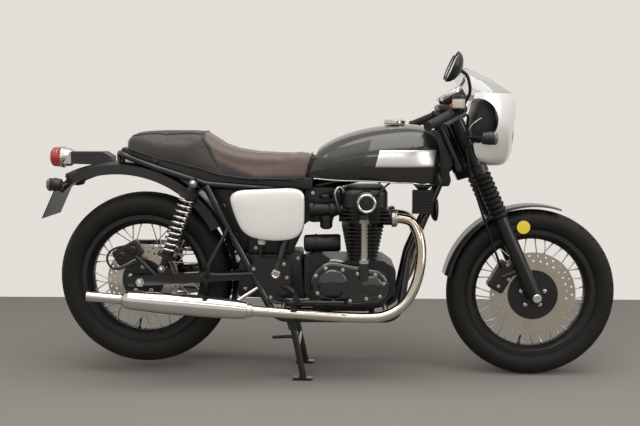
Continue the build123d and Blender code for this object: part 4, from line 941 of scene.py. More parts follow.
def makeSeat():
    s = seatSettings
    pad = startPiece(bpy.ops.mesh.primitive_cube_add, "seatPad", size=0.1)
    pad.data = cadNodes["seat"].data.copy()
    mendShell(pad)
    useModifier(pad, "REMESH", mode="VOXEL", voxel_size=s["voxel"])
    useModifier(pad, "SMOOTH", factor=0.5, iterations=4)
    base, tail = s["base"] / 1000, at(s["tail"], 0, 0).x
    ridge = {}
    for vert in pad.data.vertices:
        strip = round(vert.co.x / s["voxel"])
        ridge[strip] = max(ridge.get(strip, base), vert.co.z)
    for vert in pad.data.vertices:  # each strip is drawn up or down to the top line
        peak = ridge[round(vert.co.x / s["voxel"])]
        level = lineAt(s["topLine"], vert.co.x * 1000 + midLength) / 1000
        if vert.co.z > base:
            vert.co.z = base + (vert.co.z - base) * (level - base) / max(peak - base, s["leastRise"])
        vert.co.x = max(vert.co.x, tail + (vert.co.x - tail) * s["tailShare"])
    openEdit(pad, "VERT")
    pickAll()
    bpy.ops.transform.shrink_fatten(value=s["start"])
    pickNone()
    mesh = bmesh.from_edit_mesh(pad.data)
    for vert in mesh.verts:
        vert.select_set(vert.normal.z < s["footNormal"])  # the flat underside is held by the base
    bmesh.update_edit_mesh(pad.data)
    bpy.ops.object.vertex_group_add()
    pad.vertex_groups[-1].name = "seatFoot"
    bpy.ops.object.vertex_group_assign()
    closeEdit()
    swell(pad, s)
    pad.vertex_groups.clear()
    useModifier(pad, "SMOOTH", factor=0.5, iterations=5)
    useModifier(pad, "SUBSURF", levels=1, render_levels=1)
    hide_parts("seat")
    dress(pad, "seatCover", "frame", 60)
    lines = {"seatPleat": s["pleat"]}
    for side, label in bothSides:
        lines["seatEdge" + label] = [(x, side * y, z) for x, y, z in s["edge"]]
        lines["seatRidge" + label] = [(x, side * y, z) for x, y, z in s["ridge"]]
    for name, points in lines.items():
        seam = seamOn(name, pad, [at(*point) for point in points], s["piping"])
        dress(seam, "seamBlack", "frame", 60)


makeSeat()
print("seat swelled and sewn")

# tank: bare badges, bright foot seam

tankSettings = {"badge": [(868, 800), (1082, 800), (1092, 860), (884, 860)], "badgeY": 200,
    "badgeThick": 0.0022, "badgeSoft": 0.0006,
    "seam": [(640, 104, 752), (700, 114, 751), (800, 128, 748), (900, 135, 745), (1000, 133, 741),
    (1068, 106, 736), (1104, 74, 731)], "seamR": 0.0026}


def makeBadge(side, label):
    s = tankSettings
    badge = startPiece(bpy.ops.mesh.primitive_grid_add, "tankBadge" + label, x_subdivisions=24,
        y_subdivisions=8, size=1)
    low, lowEnd, topEnd, top = s["badge"]
    openEdit(badge, "VERT")
    mesh = bmesh.from_edit_mesh(badge.data)
    for vert in mesh.verts:
        u, v = vert.co.x + 0.5, vert.co.y + 0.5
        x = (low[0] * (1 - u) + lowEnd[0] * u) * (1 - v) + (top[0] * (1 - u) + topEnd[0] * u) * v
        z = low[1] * (1 - v) + top[1] * v
        vert.co = at(x, side * s["badgeY"], z)
    bmesh.update_edit_mesh(badge.data)
    closeEdit()
    useModifier(badge, "SHRINKWRAP", target=cadNodes["fuel_tank"], wrap_method="PROJECT", use_project_y=True,
        use_negative_direction=True, use_positive_direction=True, offset=s["badgeSoft"])
    turnOut(badge)
    useModifier(badge, "SOLIDIFY", thickness=s["badgeThick"], offset=0.0)
    softEdges(badge, s["badgeSoft"])
    mendShell(badge)
    dress(badge, "badgeSilver", "frame")


for side, label in bothSides:
    makeBadge(side, label)
    seam = seamOn("tankSeam" + label, cadNodes["fuel_tank"],
        [onSide(side, point) for point in tankSettings["seam"]], tankSettings["seamR"])
    dress(seam, "chrome", "frame", 60)
print("tank trimmed")

# tail lamp lens, number plate, indicator lenses

tailSettings = {"lens": (-311, 0, 829), "way": (-1, 0, 0.02), "plateLow": (-365, 0, 606),
    "plateHigh": (-305, 0, 734), "plateWide": 0.200, "plateShort": 0.012, "plateThick": 0.0012,
    "plateRim": 0.005, "plateRise": 0.0005, "plateSoft": 0.0004, "plateOut": 0.0023}


def makeTail():
    s = tailSettings
    fitTurned("tailLens", [(0, 0), (0, 39.4), (7, 39.6), (11, 38.5), (14, 37.2), (16, 38.2), (24, 37.6),
        (26, 36.4), (28, 37.2), (36, 36), (40, 32), (44, 27), (46.5, 20), (47.2, 10), (47.4, 0)], 48,
        [(at(*s["lens"]), s["way"])], "lensRed", "frame", 40)
    fitTurned("tailRim", [(-7, 36), (-6, 39.6), (-3, 41.4), (1, 41.4), (3, 39.8), (2, 36), (-7, 36)], 48,
        [(at(*s["lens"]), s["way"])], "chrome", "frame", 60)
    low, high = at(*s["plateLow"]), at(*s["plateHigh"])
    slope = (high - low).normalized()
    outward = leftward.cross(slope) * -1
    plate = startPiece(bpy.ops.mesh.primitive_cube_add, "plateBlank", size=1)
    openEdit(plate)
    pickAll()
    bpy.ops.transform.resize(value=(s["plateWide"], (high - low).length - s["plateShort"], s["plateThick"]))
    pickFaces(plate, lambda centre, normal: normal.z > facing)
    bpy.ops.mesh.inset(thickness=s["plateRim"])
    bpy.ops.transform.translate(value=(0, 0, s["plateRise"]))
    closeEdit()
    softEdges(plate, s["plateSoft"])
    layAt(plate, (low + high) / 2 + outward * s["plateOut"], leftward, slope, leftward.cross(slope))
    dress(plate, "plateBlank", "frame")


makeTail()

lensSettings = {
    "rearLens": {"body": "frame", "at": [(-318, -136, 734), (-318, 136, 734)], "way": (-1, 0, 0)},
    "frontLens": {"body": "steering", "at": [(1284, -196, 905), (1284, 196, 905)], "way": (1, 0, 0)},
}
for name, s in lensSettings.items():
    fitTurned(name, [(-2, 0), (-2, 24.2), (2, 24.6), (6, 23.6), (11, 19), (13.5, 11), (14, 0)], 32,
        [(at(*point), s["way"]) for point in s["at"]], "lensSmoke", s["body"], 50)
print("lamps and plate fitted")

# mirrors, reservoir, switch and dials

barSettings = {"mirrors": [(1202, 338, 1177), (1128, -338, 1141)], "glassWay": (-0.92, 0, 0.39), "glassOut": 14,
    "cup": (1152.5, -231.4, 1006), "perch": (1139.6, -218.9, 994), "gripWay": (-0.6645, 0.6874, -0.2933),
    "boltShift": 0.009, "boltUp": (0.0115, 0, 0.0165), "boltWay": (0.56, 0, 0.83), "switch": 0.016,
    "switchShape": (1.5, 0.9, 0.8), "switchRim": 0.003, "switchPush": (0.002, 0, 0.004), "switchSoft": 0.0018,
    "switchOff": (-0.002, 0.0, 0.0235)}


def makeBarTrim():
    s = barSettings
    way = Vector(s["glassWay"]).normalized()
    fitTurned("mirrorGlass", [(-2, 0), (-2, 49.4), (0.6, 49.4), (1.4, 48.4), (1.4, 0)], 48,
        [(at(*point) + way * s["glassOut"] / 1000, way) for point in s["mirrors"]], "mirrorGlass", "steering")
    fitTurned("brakeCup", [(4, 0), (4, 20), (6, 21.6), (34, 22), (36, 21.6), (36, 0)], 32,
        [(at(*s["cup"]), (0, 0, 1))], "cupMilky", "steering", 50)
    fitTurned("brakeCupLid", [(36, 0), (36, 23.4), (44, 23.4), (47, 22), (49, 18), (49, 0)], 24,
        [(at(*s["cup"]), (0, 0, 1))], "plasticBlack", "steering")
    across = Vector((s["gripWay"][0], -s["gripWay"][1], s["gripWay"][2]))
    perch = at(*s["perch"])
    spots = []
    for side in (1, -1):
        middle = Vector((perch.x, side * -perch.y, perch.z))
        reach = Vector((across.x, side * -across.y, across.z))
        for shift in (-s["boltShift"], s["boltShift"]):
            spots.append((middle + reach * shift + Vector(s["boltUp"]), s["boltWay"]))
    fitTurned("perchBolts", [(0, 0), (0, 4.6), (3, 4.6), (4, 3.6), (4, 0)], 6, spots, "chrome", "steering")
    switch = startPiece(bpy.ops.mesh.primitive_cube_add, "stopSwitch", size=s["switch"])
    openEdit(switch)
    pickAll()
    bpy.ops.transform.resize(value=s["switchShape"])
    pickFaces(switch, lambda centre, normal: normal.z > facing)
    bpy.ops.mesh.inset(thickness=s["switchRim"])
    bpy.ops.transform.translate(value=s["switchPush"])
    closeEdit()
    softEdges(switch, s["switchSoft"], 3)
    placeAlong(switch, perch + Vector(s["switchOff"]), (0, 0, 1))
    dress(switch, "switchRed", "steering")


makeBarTrim()

dialSettings = {"foot": (1176, 58, 1022), "way": (-0.537, 0, 0.844), "face": 54.6, "numberR": 0.0265,
    "numberLift": 0.0006, "numberSize": 0.0085, "numberThick": 0.0001, "tick": (0.0013, 0.006, 0.0003),
    "tickR": 0.0355, "tickLift": 0.0005, "needleLift": 0.0022, "sweep": (225, -45),
    "numbers": {1: "0 2 4 6 8 10 12", -1: "0 40 80 120 160 200"}}


def makeDial(side, label):
    s = dialSettings
    way = Vector(s["way"]).normalized()
    base = onSide(side, s["foot"]) + way * s["face"] / 1000
    fitTurned("dialRim" + label, [(-8, 43), (-8, 45.4), (1, 46), (3.5, 44.5), (3.5, 42), (0, 40.2), (-3, 40.2),
        (-8, 43)], 48, [(base, way)], "chrome", "steering", 50)
    fitTurned("dialFace" + label, [(-0.5, 0), (-0.5, 40.6), (0.3, 40.6), (0.3, 12), (0.6, 11.5), (0.6, 0)], 40,
        [(base, way)], "dialBlack", "steering")
    # the dial's own sideways and upward axes, as the rider sees them
    across = Vector((0, -1, 0))
    upward = way.cross(across) * -1
    if upward.x < 0:
        upward = -upward
    marks = []
    numbers = s["numbers"][side].split()
    first, last = s["sweep"]
    for index, number in enumerate(numbers):
        angle = math.radians(first + (last - first) * index / (len(numbers) - 1))
        ray = across * math.cos(angle) + upward * math.sin(angle)
        clearPick()
        bpy.ops.object.text_add()
        text = bpy.context.active_object
        text.data.body = number
        text.data.size = s["numberSize"]
        text.data.align_x = "CENTER"
        text.data.align_y = "CENTER"
        text.data.extrude = s["numberThick"]
        bpy.ops.object.convert(target="MESH")
        text = bpy.context.active_object
        layAt(text, base + ray * s["numberR"] + way * s["numberLift"], across, upward, way)
        marks.append(text)
        clearPick()
        bpy.ops.mesh.primitive_cube_add(size=1)
        tick = bpy.context.active_object
        tick.scale = s["tick"]
        bpy.ops.object.transform_apply(location=False, rotation=False, scale=True)
        layAt(tick, base + ray * s["tickR"] + way * s["tickLift"], way.cross(ray), ray, way)
        marks.append(tick)
    dress(joinAll(marks, "dialMarks" + label), "markWhite", "steering")
    angle = math.radians(first)
    ray = across * math.cos(angle) + upward * math.sin(angle)
    fitTurned("dialNeedle" + label, [(-9, 0), (-9, 1.2), (0, 1.6), (30, 0.5), (31, 0)], 6,
        [(base + way * s["needleLift"], ray)], "switchRed", "steering")
    fitTurned("dialGlass" + label, [(3, 0), (3, 41.8), (3.8, 41.8), (4.6, 30), (5.2, 0)], 32, [(base, way)],
        "lampClear", "steering", 50)


for side, label in bothSides:
    makeDial(side, label)
print("bars dressed")

# bolts and nuts, modelled once and set in place

boltSettings = {
    # kind: profile (along, radius) in mm, steps
    "hexBolt": ([(0, 0), (0, 7.4), (1.2, 7.4), (1.2, 5.8), (4.6, 5.8), (5.6, 4.8), (5.6, 0)], 6),
    "domeNut": ([(0, 0), (0, 12.5), (2, 12.5), (2, 10.4), (8, 10.4), (10, 9), (14, 7), (16.5, 4), (17.2, 0)],
        12),
    "bigCap": ([(0, 0), (0, 18), (3, 18), (5, 16), (8, 15), (9, 11), (7.5, 9), (7.5, 0)], 28),
    "axleNut": ([(0, 0), (0, 17), (2, 17), (2, 13.6), (11, 13.6), (13, 12), (13, 8), (16, 8), (17, 6.5),
        (17, 0)], 6),
    "axleCap": ([(-1, 0), (-1, 16), (2, 16.5), (5, 14), (5.5, 9), (3.5, 8), (3.5, 0)], 28),
}
boltPlaces = {
    # name: kind, finish, body, direction, both sides or not, points (mm)
    "coverBoltsRight": ("hexBolt", "alloy", "frame", (0, -1, 0), False,
        [(660, -171.5, 342), (654, -171.5, 406), (690, -171.5, 434), (752, -171.5, 428), (806, -171.5, 414),
        (870, -171.5, 411), (901, -171.5, 378), (887, -171.5, 331), (838, -171.5, 322), (778, -171.5, 314),
        (718, -171.5, 310)]),
    "coverBoltsLeft": ("hexBolt", "alloy", "frame", (0, 1, 0), False,
        [(612, 163.5, 364), (615, 163.5, 422), (662, 163.5, 436), (734, 163.5, 428), (810, 163.5, 418),
        (884, 163.5, 402), (902, 163.5, 352), (870, 163.5, 310), (800, 163.5, 318), (706, 163.5, 334)]),
    "plateBolts": ("hexBolt", "chrome", "frame", (0, -1, 0), True,
        [(536, -136, 442), (546, -136, 392), (424, -136, 424), (486, -136, 318)]),
    "boxBolts": ("hexBolt", "chrome", "frame", (0, -1, 0), False,
        [(527, -91.5, 494), (428, -91.5, 496), (585, -83.5, 456), (388, -83.5, 440), (388, -83.5, 340),
        (306, -61.5, 650), (350, -61.5, 540), (640, -65.5, 700), (730, -65.5, 704)]),
    "shockNuts": ("domeNut", "chrome", "frame", (0, -1, 0), True, [(211, -175.2, 742), (91, -175.2, 430)]),
    "pivotCaps": ("bigCap", "chrome", "frame", (0, -1, 0), True, [(505, -136, 405)]),
    "rearAxleNuts": ("axleNut", "alloy", "frame", (0, -1, 0), True, [(0, -128, 370)]),
    "frontAxleCaps": ("axleCap", "alloy", "steering", (0, -1, 0), True, [(1465, -135, 317)]),
    "calliperBolts": ("hexBolt", "chrome", "steering", (0, -1, 0), False,
        [(1364, -86.5, 434), (1370, -86.5, 379), (1332, -86.5, 354)]),
}


def setBolts(name, kind, label, body, way, paired, points):
    profile, steps = boltSettings[kind]
    places = [(at(*point), way) for point in points]
    if paired:
        places += [(at(x, -y, z), (way[0], -way[1], way[2])) for x, y, z in points]
    fitTurned(name, profile, steps, places, label, body, 25)


for name, row in boltPlaces.items():
    setBolts(name, *row)
print("bolts set")

# fork: reflectors on straps and top caps

forkSettings = {"reflector": (1415, -104, 577), "leg": (1352, -95, 566), "rake": 24.5, "axle": (1465, 95, 317),
    "top": 743, "cupBack": 8, "strapBack": 7, "strap": (0.003, 0.018), "strapSoft": 0.0008}


def makeForkTrim():
    s = forkSettings
    x, y, z = s["reflector"]
    spots = [(at(x, side * (y + s["cupBack"]), z), (0, -side, 0)) for side in (1, -1)]
    fitTurned("forkReflectors", [(4, 0), (4, 24.5), (7, 25), (9.5, 23.5), (10.5, 0)], 40, spots,
        "reflectorAmber", "steering", 50)
    fitTurned("reflectorCups", [(0, 0), (0, 24), (2, 27), (8, 27), (9, 26), (6, 25.2), (4, 25), (4, 0)], 40,
        spots, "plasticBlack", "steering")
    straps = []
    for side in (1, -1):
        strap = startPiece(bpy.ops.mesh.primitive_cube_add, "reflectorStraps", size=1)
        start, end = onSide(-side, s["leg"]), at(x, side * -(y + s["strapBack"]), z)
        openEdit(strap)
        pickAll()
        bpy.ops.transform.resize(value=(*s["strap"], (end - start).length))
        bpy.ops.transform.translate(value=(0, 0, (end - start).length / 2))
        bpy.ops.mesh.subdivide(number_cuts=3)
        closeEdit()
        softEdges(strap, s["strapSoft"])
        way = (end - start).normalized()
        up = way.cross(leftward).normalized()
        layAt(strap, start, up.cross(way), up, way)
        straps.append(strap)
    dress(joinAll(straps), "forkBlack", "steering")
    rake = math.radians(s["rake"])
    upward = Vector((-math.sin(rake), 0, math.cos(rake)))
    axle = at(*s["axle"])
    spots = [(Vector((axle.x, side * axle.y, axle.z)) + upward * s["top"] / 1000, upward) for side in (1, -1)]
    fitTurned("forkCaps", [(0, 0), (0, 19.5), (3, 19.5), (5, 17), (6, 12), (11, 12), (13, 10), (13, 0)], 24,
        spots, "chrome", "steering")


makeForkTrim()
print("fork trimmed")

# engine: ring and hub on the bevel cover, port collars, breather pipe, plug leads

engineSettings = {"ring": (836, -196.5, 672), "port": (937, 72, 606), "breatherR": 0.0045, "leadR": 0.0036,
    "breather": [(756, -104, 706), (744, -112, 732), (724, -120, 714), (722, -120, 690), (736, -94, 650)],
    "lead": [(872, -124, 690), (880, -150, 700), (902, -144, 728), (930, -84, 742), (940, -40, 750)]}


def makeEngineTrim():
    s = engineSettings
    fitTurned("bevelRing", [(-5, 24), (-5, 35.4), (2.5, 35.4), (5.5, 33.5), (6.5, 30), (5.5, 26.5), (2, 24.5),
        (-5, 24)], 48, [(at(*s["ring"]), (0, -1, 0))], "chrome", "frame", 60)
    fitTurned("bevelHub", [(0, 0), (0, 24), (1.5, 23), (1.5, 14), (4, 12), (5, 0)], 24,
        [(at(*s["ring"]), (0, -1, 0))], "engineBlack", "frame")
    spots = [(onSide(side, s["port"]), (1, 0, 0)) for side in (1, -1)]
    fitTurned("portCollars", [(-4, 19), (-4, 32), (0, 33), (6, 33), (7, 30), (8, 33), (14, 32), (15, 28),
        (18, 25), (18, 19), (-4, 19)], 32, spots, "alloy", "frame")
    pipe = tubePiece("breatherPipe", [at(*point) for point in s["breather"]], s["breatherR"])
    dress(pipe, "alloy", "frame", 60)
    for side, label in bothSides:
        lead = tubePiece("plugLead" + label, [onSide(-side, point) for point in s["lead"]], s["leadR"])
        dress(lead, "gripRubber", "frame", 60)


makeEngineTrim()
print("engine trimmed")

# silencers: clamps at the front, lips at the tail

pipeSettings = {"front": (424, 200, 282), "rear": (-172, 206, 334), "clamp": 10}


def makePipeTrim():
    s = pipeSettings
    clamps, lips = [], []
    for side in (1, -1):
        front = onSide(side, s["front"])
        rear = onSide(side, s["rear"])
        way = (rear - front).normalized()
        clamps.append((front + way * s["clamp"] / 1000, way))
        lips.append((rear, way))
    fitTurned("pipeClamps", [(-9, 21.6), (-9, 23.4), (-5, 24.4), (5, 24.4), (9, 23.4), (9, 21.6), (-9, 21.6)],
        32, clamps, "chrome", "frame")
    fitTurned("tailLips", [(-4, 16.2), (-4, 19.4), (2, 20), (3, 19), (3, 16.6), (-4, 16.2)], 32, lips, "chrome",
        "frame")


makePipeTrim()
print("pipes trimmed")

# drive chain, link by link

chainSettings = {"rear": (0, 370, 98.64), "front": (612, 402, 38.18), "y": 80, "pitch": 15.875,
    "plateR": 0.0062, "plateThick": 0.0014, "waist": 0.75, "innerY": 0.0032, "outerY": 0.0048}


def chainPath():
    # pin line as (length, function of distance) runs: two straights and two arcs, in mm
    (x0, z0, r0), (x1, z1, r1) = chainSettings["rear"], chainSettings["front"]
    span = math.hypot(x1 - x0, z1 - z0)
    lean = math.atan2(z1 - z0, x1 - x0)
    cone = math.asin((r0 - r1) / span)
    top = lean + math.pi / 2 - cone
    low = lean - math.pi / 2 + cone
    run = span * math.cos(cone)

    def onCircle(x, z, r, angle):
        return Vector((x + r * math.cos(angle), 0, z + r * math.sin(angle)))

    upper = (onCircle(x0, z0, r0, top), onCircle(x1, z1, r1, top))
    lower = (onCircle(x1, z1, r1, low), onCircle(x0, z0, r0, low))
    return [
        (run, lambda d: upper[0].lerp(upper[1], d / run)),
        (r1 * (top - low), lambda d: onCircle(x1, z1, r1, top - d / r1)),
        (run, lambda d: lower[0].lerp(lower[1], d / run)),
        (r0 * (2 * math.pi - top + low), lambda d: onCircle(x0, z0, r0, low - d / r0)),
    ]


def makeLink(name, outY):
    # a pair of plates and a pin, along +X from its first pin
    s = chainSettings
    pitch = s["pitch"] / 1000
    plate = startPiece(bpy.ops.mesh.primitive_circle_add, name, vertices=12, radius=s["plateR"],
        fill_type="NGON")
    openEdit(plate, "VERT")
    pickVerts(plate, lambda co: co.x > 0.001)
    bpy.ops.transform.translate(value=(pitch, 0, 0))
    pickNone()
    pickVerts(plate, lambda co: abs(co.x) < 0.001)
    bpy.ops.transform.translate(value=(pitch / 2, 0, 0))
    bpy.ops.transform.resize(value=(1, s["waist"], 1), center_override=(pitch / 2, 0, 0))
    pickAll()
    drawOut((0, 0, s["plateThick"]))
    pickAll()
    bpy.ops.transform.translate(value=(0, 0, outY))
    bpy.ops.mesh.duplicate_move(TRANSFORM_OT_translate={"value": (0, 0, -2 * outY - s["plateThick"])})
    tidyShell()
    closeEdit()
    pin = turnedPiece(name + "Pin", [(-6.2, 0), (-6.2, 2.4), (-2.6, 2.4), (-2.6, 4.8), (2.6, 4.8), (2.6, 2.4),
        (6.2, 2.4), (6.2, 0)], steps=8)
    return joinAll([plate, pin])


def makeChain():
    s = chainSettings
    runs = chainPath()
    total = sum(length for length, spot in runs)
    count = 2 * round(total / s["pitch"] / 2)

    def pinAt(index):
        d = total * (index % count) / count
        for length, spot in runs:
            if d <= length:
                return spot(d)
            d -= length

    models = [makeLink("chainInner", s["innerY"]), makeLink("chainOuter", s["outerY"])]
    made = []
    for index in range(count):
        here, there = pinAt(index), pinAt(index + 1)
        along = (there - here).normalized()
        pickOnly(models[index % 2])
        bpy.ops.object.duplicate()
        twin = bpy.context.active_object
        layAt(twin, at(here.x, s["y"], here.z), along, leftward.cross(along), leftward)
        made.append(twin)
    for model in models:
        bpy.data.objects.remove(model)
    links = joinAll(made, "chainLinks")
    turnOut(links)
    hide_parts("chain")
    dress(links, "driveSteel", "frame", 30)


makeChain()
print("chain linked")

# side covers with a crowned face

# crown rows: share of the size left, rise in mm
coverSettings = {"outline": [(334, 714), (470, 720), (611, 726), (613, 650), (610, 572), (574, 534), (470, 530),
    (390, 552), (354, 630)], "rounds": 3, "backY": 144, "edgeY": 155, "middle": (478, 634),
    "crown": [(0.985, 3.4), (0.965, 2.6), (0.93, 2.2), (0.86, 1.6), (0.72, 0.8), (0.45, 0.4)]}


def makeSideCovers():
    s = coverSettings
    made = []
    outline = rounded(s["outline"], s["rounds"])
    for side in (1, -1):
        cover = openLine("sideCovers", [at(x, side * s["backY"], z) for x, z in outline])
        pickAll()
        bpy.ops.mesh.edge_face_add()
        push = (0, side * (s["edgeY"] - s["backY"]) / 1000, 0)
        drawOut(push)
        tidyShell()
        bpy.ops.mesh.select_mode(type="FACE")
        pickFaces(cover, lambda centre, normal: normal.y * side > facing)
        for share, rise in s["crown"]:
            drawOut((0, side * rise / 1000, 0))
            bpy.ops.transform.resize(value=(share, 1, share),
                center_override=at(s["middle"][0], 0, s["middle"][1]))
        closeEdit()
        made.append(cover)
    whole = joinAll(made)
    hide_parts("side_covers")
    dress(whole, "silverPaint", "frame", 70)


makeSideCovers()
print("side covers crowned")

# headers on one flowing line

headerSettings = {"radius": 18.5, "line": [(937, 72, 606), (966, 72, 607), (1012, 82, 596), (1038, 108, 540),
    (1041, 132, 460), (1022, 150, 372), (982, 163, 300), (915, 168, 256), (830, 168, 249), (700, 172, 257),
    (560, 190, 270), (424, 200, 282)]}


def makeHeaders():
    made = []
    for side in (1, -1):
        line = [onSide(side, point) for point in headerSettings["line"]]
        made.append(tubePiece("headerPipes", line, headerSettings["radius"] / 1000, 8))
    whole = joinAll(made)
    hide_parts("headers")
    dress(whole, "heatedChrome", "frame", 60)


makeHeaders()
print("headers drawn")

# mirrors: shallow bowls on bent stalks

mirrorSettings = {"root": (1168, 190, 1006), "bend": (1192, 236, 1066), "stalkR": 5.6, "depth": 18,
    "collar": (0.6645, -0.6874, 0.2933), "low": (34, -46, -36), "near": (20, -12, -10), "first": 0.6,
    "sunk": 0.004}


def makeMirrors():
    s = mirrorSettings
    way = Vector(barSettings["glassWay"]).normalized()
    made = []
    for x, y, z in barSettings["mirrors"]:
        side = 1 if y > 0 else -1
        back = at(x, y, z) - way * s["depth"] / 1000
        made.append(turnedPiece("mirrorHeads", [(0, 0), (0, 12), (3, 22), (9, 36), (18, 47), (28, 53), (33, 54),
            (36, 53.4), (36, 50), (30, 49.6), (30, 0)], back, way, 56))
        root, bend = onSide(side, s["root"]), onSide(side, s["bend"])
        low, near = (back + Vector((dx, side * dy, dz)) / 1000 for dx, dy, dz in (s["low"], s["near"]))
        made.append(tubePiece("mirrorStalk", [root, root.lerp(bend, s["first"]), bend, low, near,
            back + way * s["sunk"]], s["stalkR"] / 1000, 5))
        along = Vector((s["collar"][0], side * s["collar"][1], s["collar"][2])).normalized()
        made.append(turnedPiece("mirrorCollar", [(-12, 11.4), (-12, 17), (-10, 18), (10, 18), (12, 17),
            (12, 11.4), (-12, 11.4)], root, along, 28))
    whole = joinAll(made)
    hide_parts("mirrors")
    dress(whole, "plasticBlack", "steering", 40)


makeMirrors()
print("mirrors made")

# plain black parts that close the view behind the tubes: partly stand-ins for parts hidden there, partly
# painted shade where shadow falls between them

plateSettings = {
    # name: finish, body, side planes (mm), edge rounding (mm), side outline (mm)
    "seatPan": ("plasticBlack", "frame", -100, 100, 4,
        [(-70, 868), (60, 832), (200, 798), (290, 772), (390, 757), (514, 754), (640, 760), (640, 716),
        (430, 716), (248, 730), (60, 790), (-84, 840)]),
    "batteryBox": ("plasticBlack", "frame", -92, 60, 8,
        [(398, 470), (398, 610), (590, 610), (604, 560), (560, 470)]),
    "seatBridge": ("plasticBlack", "frame", -84, 84, 6,
        [(600, 760), (628, 836), (670, 836), (646, 760)]),
    "toolTray": ("plasticBlack", "frame", -62, 62, 6,
        [(216, 716), (400, 716), (400, 480), (350, 480), (334, 544), (296, 622), (256, 682)]),
    "pivotBlock": ("engineBlack", "frame", -84, 60, 10,
        [(360, 306), (356, 400), (372, 474), (600, 480), (616, 300)]),
    "carbRack": ("plasticBlack", "frame", -66, 66, 8,
        [(606, 598), (606, 716), (640, 724), (752, 722), (752, 640), (704, 592), (640, 588)]),
    "sump": ("engineBlack", "frame", -120, 120, 8,
        [(636, 306), (640, 274), (690, 262), (840, 262), (890, 280), (900, 306)]),
    "neckShroud": ("plasticBlack", "frame", -42, 42, 6,
        [(1030, 880), (1050, 936), (1112, 930), (1166, 806), (1148, 776), (1156, 744), (1148, 722),
        (1062, 722)]),
    # the lining stands in for the dark parts inside the fairing and is in part a painted shade of the fairing's
    # shadowed inside
    "cowlLining": ("plasticBlack", "steering", -104, 104, 8,
        [(1216, 892), (1228, 970), (1248, 1046), (1296, 1050), (1310, 960), (1300, 884)]),
}
panTail = {"from": -20, "narrow": 0.56}
for name, (label, body, low, high, soft, outline) in plateSettings.items():
    plate = platePiece(name, outline, low, high, soft)
    if name == "seatPan":
        openEdit(plate, "VERT")
        pickVerts(plate, lambda co: co.x < at(panTail["from"], 0, 0).x)
        bpy.ops.transform.resize(value=(1, panTail["narrow"], 1), center_override=(0, 0, 0))
        closeEdit()
    dress(plate, label, body)

# sheet ahead of the rear tyre, on the arc of the mudguard

innerSettings = {"centre": (-90, 0, 370), "radius": 443, "half": 60, "from": 30, "sweep": 42, "thick": 4,
    "steps": 20, "lip": (12, 14, 8)}


def makeInnerGuard():
    s = innerSettings
    start = math.radians(s["from"])
    x, z = s["centre"][0] + s["radius"] * math.cos(start), s["centre"][2] + s["radius"] * math.sin(start)
    back, inward, drop = s["lip"]
    guard = openLine("innerGuard", [at(x - back, -s["half"], z - drop), at(x, -s["half"] + inward, z),
        at(x, s["half"] - inward, z), at(x - back, s["half"], z - drop)])
    pickAll()
    bpy.ops.mesh.spin(steps=s["steps"], angle=math.radians(-s["sweep"]), center=at(*s["centre"]),
        axis=(0, 1, 0))
    tidyShell()
    closeEdit()
    useModifier(guard, "SOLIDIFY", thickness=s["thick"] / 1000, offset=0.0)
    dress(guard, "guardBlack", "frame")


makeInnerGuard()
print("dark parts filled in")

# polished domes, horn, starter, carburettor bowls and small pots

roundSettings = {
    # name: finish, body, profile (along, radius) in mm, steps, (point, direction) rows
    "clutchDome": ("coverBlack", "frame",
        [(-1, 0), (-1, 55), (2, 55.5), (6, 53), (8, 50), (9, 44), (13, 36), (16, 22), (17, 0)], 64,
        [((716, -172, 374), (0, -1, 0))]),
    "pointsDome": ("coverBlack", "frame",
        [(-1, 0), (-1, 39), (2, 39.5), (5, 37), (6, 33), (9, 26), (11, 14), (11.5, 0)], 48,
        [((858, -172, 366), (0, -1, 0))]),
    "alternatorDome": ("coverBlack", "frame",
        [(-1, 0), (-1, 57), (2, 57.5), (6, 55), (8, 51), (12, 40), (15, 24), (16, 0)], 64,
        [((850, 164, 362), (0, 1, 0))]),
    "horn": ("plasticBlack", "frame",
        [(0, 0), (0, 26), (6, 38), (14, 45), (20, 45), (22, 42), (24, 40), (26, 30), (24, 20), (28, 12),
        (29, 0)], 40, [((1086, 0, 632), (1, 0, 0))]),
    "starter": ("engineBlack", "frame",
        [(0, 0), (0, 24), (5, 32), (40, 33), (42, 35), (48, 35), (50, 33), (130, 33), (138, 28), (138, 0)], 36,
        [((606, -52, 508), (1, 0, 0.02))]),
    "carbBowls": ("engineBlack", "frame",
        [(0, 0), (0, 13), (3, 18), (8, 23), (34, 24), (36, 27), (40, 27), (42, 24), (52, 24), (52, 0)], 28,
        [((690, -78, 566), (0, 0, 1)), ((690, 78, 566), (0, 0, 1))]),
    "carbCaps": ("engineBlack", "frame",
        [(0, 0), (0, 25), (3, 26), (8, 26), (10, 24), (14, 22), (17, 15), (18, 0)], 28,
        [((688, -72, 682), (0, 0, 1)), ((688, 72, 682), (0, 0, 1))]),
    "rearPistons": ("forkBlack", "frame",
        [(-1, 0), (-1, 17), (2, 17.5), (5, 15.5), (6, 13), (6, 9), (4.5, 8), (4.5, 0)], 36,
        [((-76.2, -93, 461.7), (0, -1, 0)), ((-33.8, -93, 484.3), (0, -1, 0))]),
    "rearPot": ("cupMilky", "frame", [(0, 0), (0, 12), (3, 15), (34, 16), (35, 18), (44, 18), (46, 15),
        (46, 0)], 28, [((452, -112, 512), (0.1, 0, 1))]),
}
for name, (label, body, profile, steps, rows) in roundSettings.items():
    fitTurned(name, profile, steps, [(at(*point), way) for point, way in rows], label, body, 40)

# pipes and cables that stay on one body

